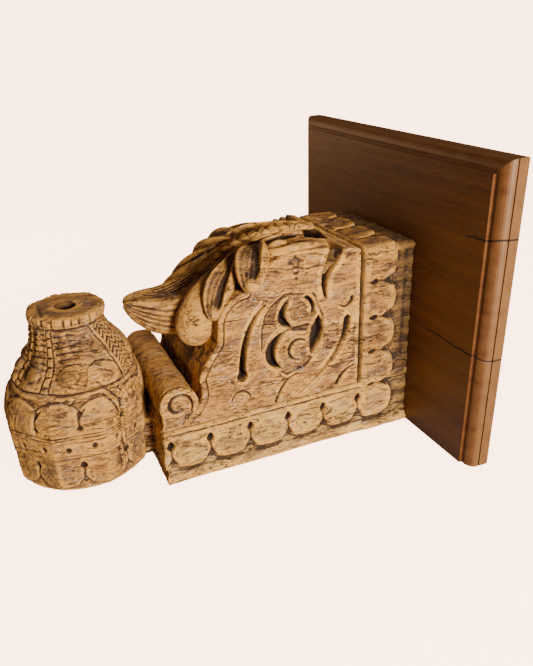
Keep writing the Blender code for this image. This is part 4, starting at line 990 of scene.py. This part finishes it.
def lobe(name, mirror, line, rim_way, width, thick, scoop, widest, neck):
    """Skin of (place along, angle round): half widths swell to the widest place, then close."""
    t = 1 - (1 - np.linspace(0, 1, 72)) ** 1.3
    flip = np.array((mirror, 1, 1))
    centre = rounded(np.array(line, float) * flip, t)
    centre[:, 2] -= FAR_SLOPE * np.clip(-centre[:, 0], 0, None)
    t = t[:, None]
    ahead = headings(centre)
    across = np.array(rim_way, float) * flip
    across = across - np.sum(across * ahead, axis=1, keepdims=True) * ahead
    across /= np.linalg.norm(across, axis=1, keepdims=True)
    outward = np.cross(across, ahead)
    outward *= np.sign(outward @ (np.array((0.5, 0.3, 0.8)) * flip))[:, None]
    past = np.clip((t - widest) / (1 - widest), 0, 1)
    swell = (neck + (1 - neck) * step(0.0, widest, t)) * np.sqrt(np.clip(1 - past ** 2.2, 0.0004, 1))
    angle = np.linspace(0, 2 * math.pi, 80, endpoint=False)[None]
    a = np.cos(angle)
    closing = np.clip(1 - a * a, 0, 1)
    hump = 0.34 * np.exp(-((a + 0.86) / 0.16) ** 2)
    rim = 0.92 * np.exp(-((a - 0.68) / 0.26) ** 2)
    hollow = 0.30 - 0.08 * a
    lip = step(0.80, 0.94, t) * step(-0.8, -0.1, a)
    top = (hump + rim + hollow) * closing ** 0.2
    top = top + lip * (0.95 * closing ** 0.3 - top)
    top = top + (1 - scoop) * (1.05 * closing ** 0.45 - top)
    veins = 0.035 * np.cos(21 * a + 4 * t) * step(0.55, 0.3, a) * (0.35 + 0.65 * scoop)
    height = np.where(angle < math.pi, top + veins * closing, -0.95 * closing ** 0.45)
    skin = centre[:, None] + across[:, None] * (a * width * swell)[..., None]
    skin = skin + outward[:, None] * (height * thick * swell ** 0.7)[..., None]
    # Painted shade: a little over the whole lobe, more on its underside, and in stripes in its hollow.
    under = 0.85 * step(0.25, -0.45, np.sin(angle)) + 0 * t
    stripes = 0.20 + 0.07 * np.cos(41 * a + 5 * np.sin(5 * t))
    inside = step(-0.95, -0.6, a) * step(0.62, 0.30, a) * step(0.98, 0.80, t) * (np.sin(angle) > 0)
    added_grime_and_shade = 0.10 + 0.9 * np.maximum(under, scoop * stripes * inside)
    item = carved(name, skin, np.zeros(skin.shape[:2]), closed=True, rough=0.5, added_grime_and_shade=added_grime_and_shade)
    finish(item, teak)


for mirror, side_name in ((1, "near"), (-1, "far")):
    lobe("leaf_bulb_" + side_name, mirror, ((16, 150, 158), (26, 168, 143), (35, 180, 124), (36, 184, 105)),
         (0.40, -0.88, 0.24), 15.2, 11.0, 0.0, 0.66, 0.22)
    lobe("leaf_lobe_b_" + side_name, mirror,
         ((22, 140, 165), (34, 153, 158.5), (43, 164, 146), (53, 172, 129)),
         (0.44, -0.84, -0.02), 10.8, 6.6, 1.0, 0.60, 0.40)
    lobe("leaf_lobe_c_" + side_name, mirror,
         ((18, 119, 168), (33, 130, 171), (49, 139, 166), (62, 146, 148.5)),
         (0.34, -0.91, 0.13), 13.0, 6.8, 1.0, 0.55, 0.45)


# The hooded tip: the leaf's last lobe, cut free over the roll and veined with a small gouge.
# Stations give how far out, the top, the half width and the underside.
stations = rounded(((138, 158, 11, 134), (146, 154.5, 16, 124), (154, 151, 19, 116), (168, 144.8, 24, 106),
                    (182, 139.0, 26, 102.5), (196, 136.4, 24, 105), (208, 137.2, 19.0, 108.5),
                    (217, 137.4, 13.5, 115.5), (223, 136.4, 8.5, 123), (226, 134.6, 3.0, 129.5)),
                   np.linspace(0, 1, 130))
half_section = rounded(((0.0, 0.06), (0.30, 0.03), (0.62, 0.0), (0.86, 0.07), (0.98, 0.30), (0.97, 0.52),
                        (0.86, 0.78), (0.5, 0.95), (0.0, 1.0)), np.linspace(0, 1, 60))
section = np.vstack((half_section, half_section[-2:0:-1] * (-1, 1)))
out, top, half, low = (stations[:, k:k + 1] for k in range(4))
skin = np.stack((half * section[:, 0], out + 0 * section[:, 0], top - (top - low) * section[:, 1]), -1)
ring = np.linspace(0, 1, section.shape[0], endpoint=False)[None] + 0 * out
down = np.minimum(ring, 1 - ring) * 2
across = np.abs(section[:, 0])[None]
top_part = step(0.30, 0.24, down) * step(150, 172, out)
veins = 0.9 * step(0.7, 0.2, np.abs((6.5 * across + 0.010 * (out - 150)) % 1.0 - 0.5) * 2)
flank = step(0.34, 0.42, down) * (0.6 + 0.6 * np.cos(2 * math.pi * (down * 13 + 0.010 * (out - 180))))
flank *= step(150, 190, out)
centre_line = 0.7 * step(0.05, 0.0, across) * step(170, 150, out)
carve = top_part * veins * step(0.95, 0.8, across) + flank + centre_line
# Painted shade in the cut veins and flank lines, and a little over the whole tip.
added_grime_and_shade = 0.06 + 0.28 * np.clip(carve, 0, 1.2)
tip = carved("leaf_tip", skin, carve, closed=True, rough=0.7, added_grime_and_shade=added_grime_and_shade)
finish(tip, teak)

# The midrib: a chain of small overlapping scales cut down the middle of the leaf, each a
# sloping step on a low rounded rib.
SCALE_PITCH = 8.2
crest_line = bezier((152, 153.5), (129, 172.0), (104, 175.3), (66, 171.5), 190)
walk = distances(crest_line)[:, None]
round_angle = np.linspace(0, 2 * math.pi, 48, endpoint=False)[None]
half = 4.6 + 3.0 * walk / walk[-1]
slant = headings(crest_line)
x_place = half * np.cos(round_angle)
lift = 3.2 * np.sin(round_angle) + 0.8
skin = np.stack((x_place, crest_line[:, :1] + slant[:, 1:] * lift,
                 crest_line[:, 1:] - slant[:, :1] * lift), -1)
scale_place = ((walk - 3.2 * np.abs(np.cos(round_angle)) ** 1.5) / SCALE_PITCH) % 1.0
carve = 2.3 * (1 - scale_place) ** 1.5 * (np.sin(round_angle) > -0.2)
carve += 0.5 * step(0.18, 0.0, np.abs(np.cos(round_angle)))
# Painted shade at the foot of each scale's step.
added_grime_and_shade = 0.75 * step(0.16, 0.02, scale_place)
midrib = carved("leaf_midrib", skin, carve, closed=True, rough=0.5, added_grime_and_shade=added_grime_and_shade)
finish(midrib, teak)


# The stems: slender ribs left standing between gouge cuts. They run from the midrib into the
# lobes and along the tip's edge, and the last is the curl beside the crown.
def rib(name, mirror, line, radii):
    """Tube along a smooth line of (x, u, z) points, its radius running through the given ones."""
    line = np.array(line, float) * (mirror, 1, 1)
    line[:, 2] -= 0.8 * FAR_SLOPE * np.clip(-line[:, 0], 0, None)
    line = rounded(line, np.linspace(0, 1, 90))
    ahead = headings(line)
    across = np.cross(ahead, (0, 0, 1.0))
    across /= np.linalg.norm(across, axis=1, keepdims=True)
    upward = np.cross(across, ahead)
    radius = np.interp(np.linspace(0, 1, 90), np.linspace(0, 1, len(radii)), radii)[:, None, None]
    angle = np.linspace(0, 2 * math.pi, 20, endpoint=False)[None, :, None]
    skin = line[:, None] + radius * (across[:, None] * np.cos(angle) + upward[:, None] * np.sin(angle))
    item = carved(name, skin, np.zeros(skin.shape[:2]), closed=True, rough=0.4)
    finish(item, teak)


for mirror, side_name in ((1, "near"), (-1, "far")):
    rib("stem_tip_" + side_name, mirror,
        ((5.5, 112, 172), (8, 132, 165.5), (12, 150, 155), (20, 168, 145), (24.5, 184, 140)),
        (1.2, 1.9, 1.9, 1.6, 0.9))
    rib("stem_bulb_" + side_name, mirror,
        ((7, 104, 172), (11, 126, 168.5), (16, 146, 159.5), (24, 164, 146), (33, 180, 126)),
        (1.0, 1.7, 1.9, 1.9, 0.8))
    rib("stem_b_" + side_name, mirror,
        ((9, 96, 171.5), (16, 116, 170.5), (25, 136, 163), (33, 152, 152), (41, 164, 137)),
        (0.9, 1.6, 1.8, 1.7, 0.7))
    rib("leaf_curl_" + side_name, mirror,
        ((46, 76, 170), (50, 90, 172.4), (51.5, 104, 173), (51, 115, 171.5), (47, 121.5, 170.5),
         (41, 120, 171.5), (38, 113, 173.6), (41, 107, 174)),
        (1.4, 3.0, 3.6, 4.0, 4.0, 3.6, 3.2, 2.2))
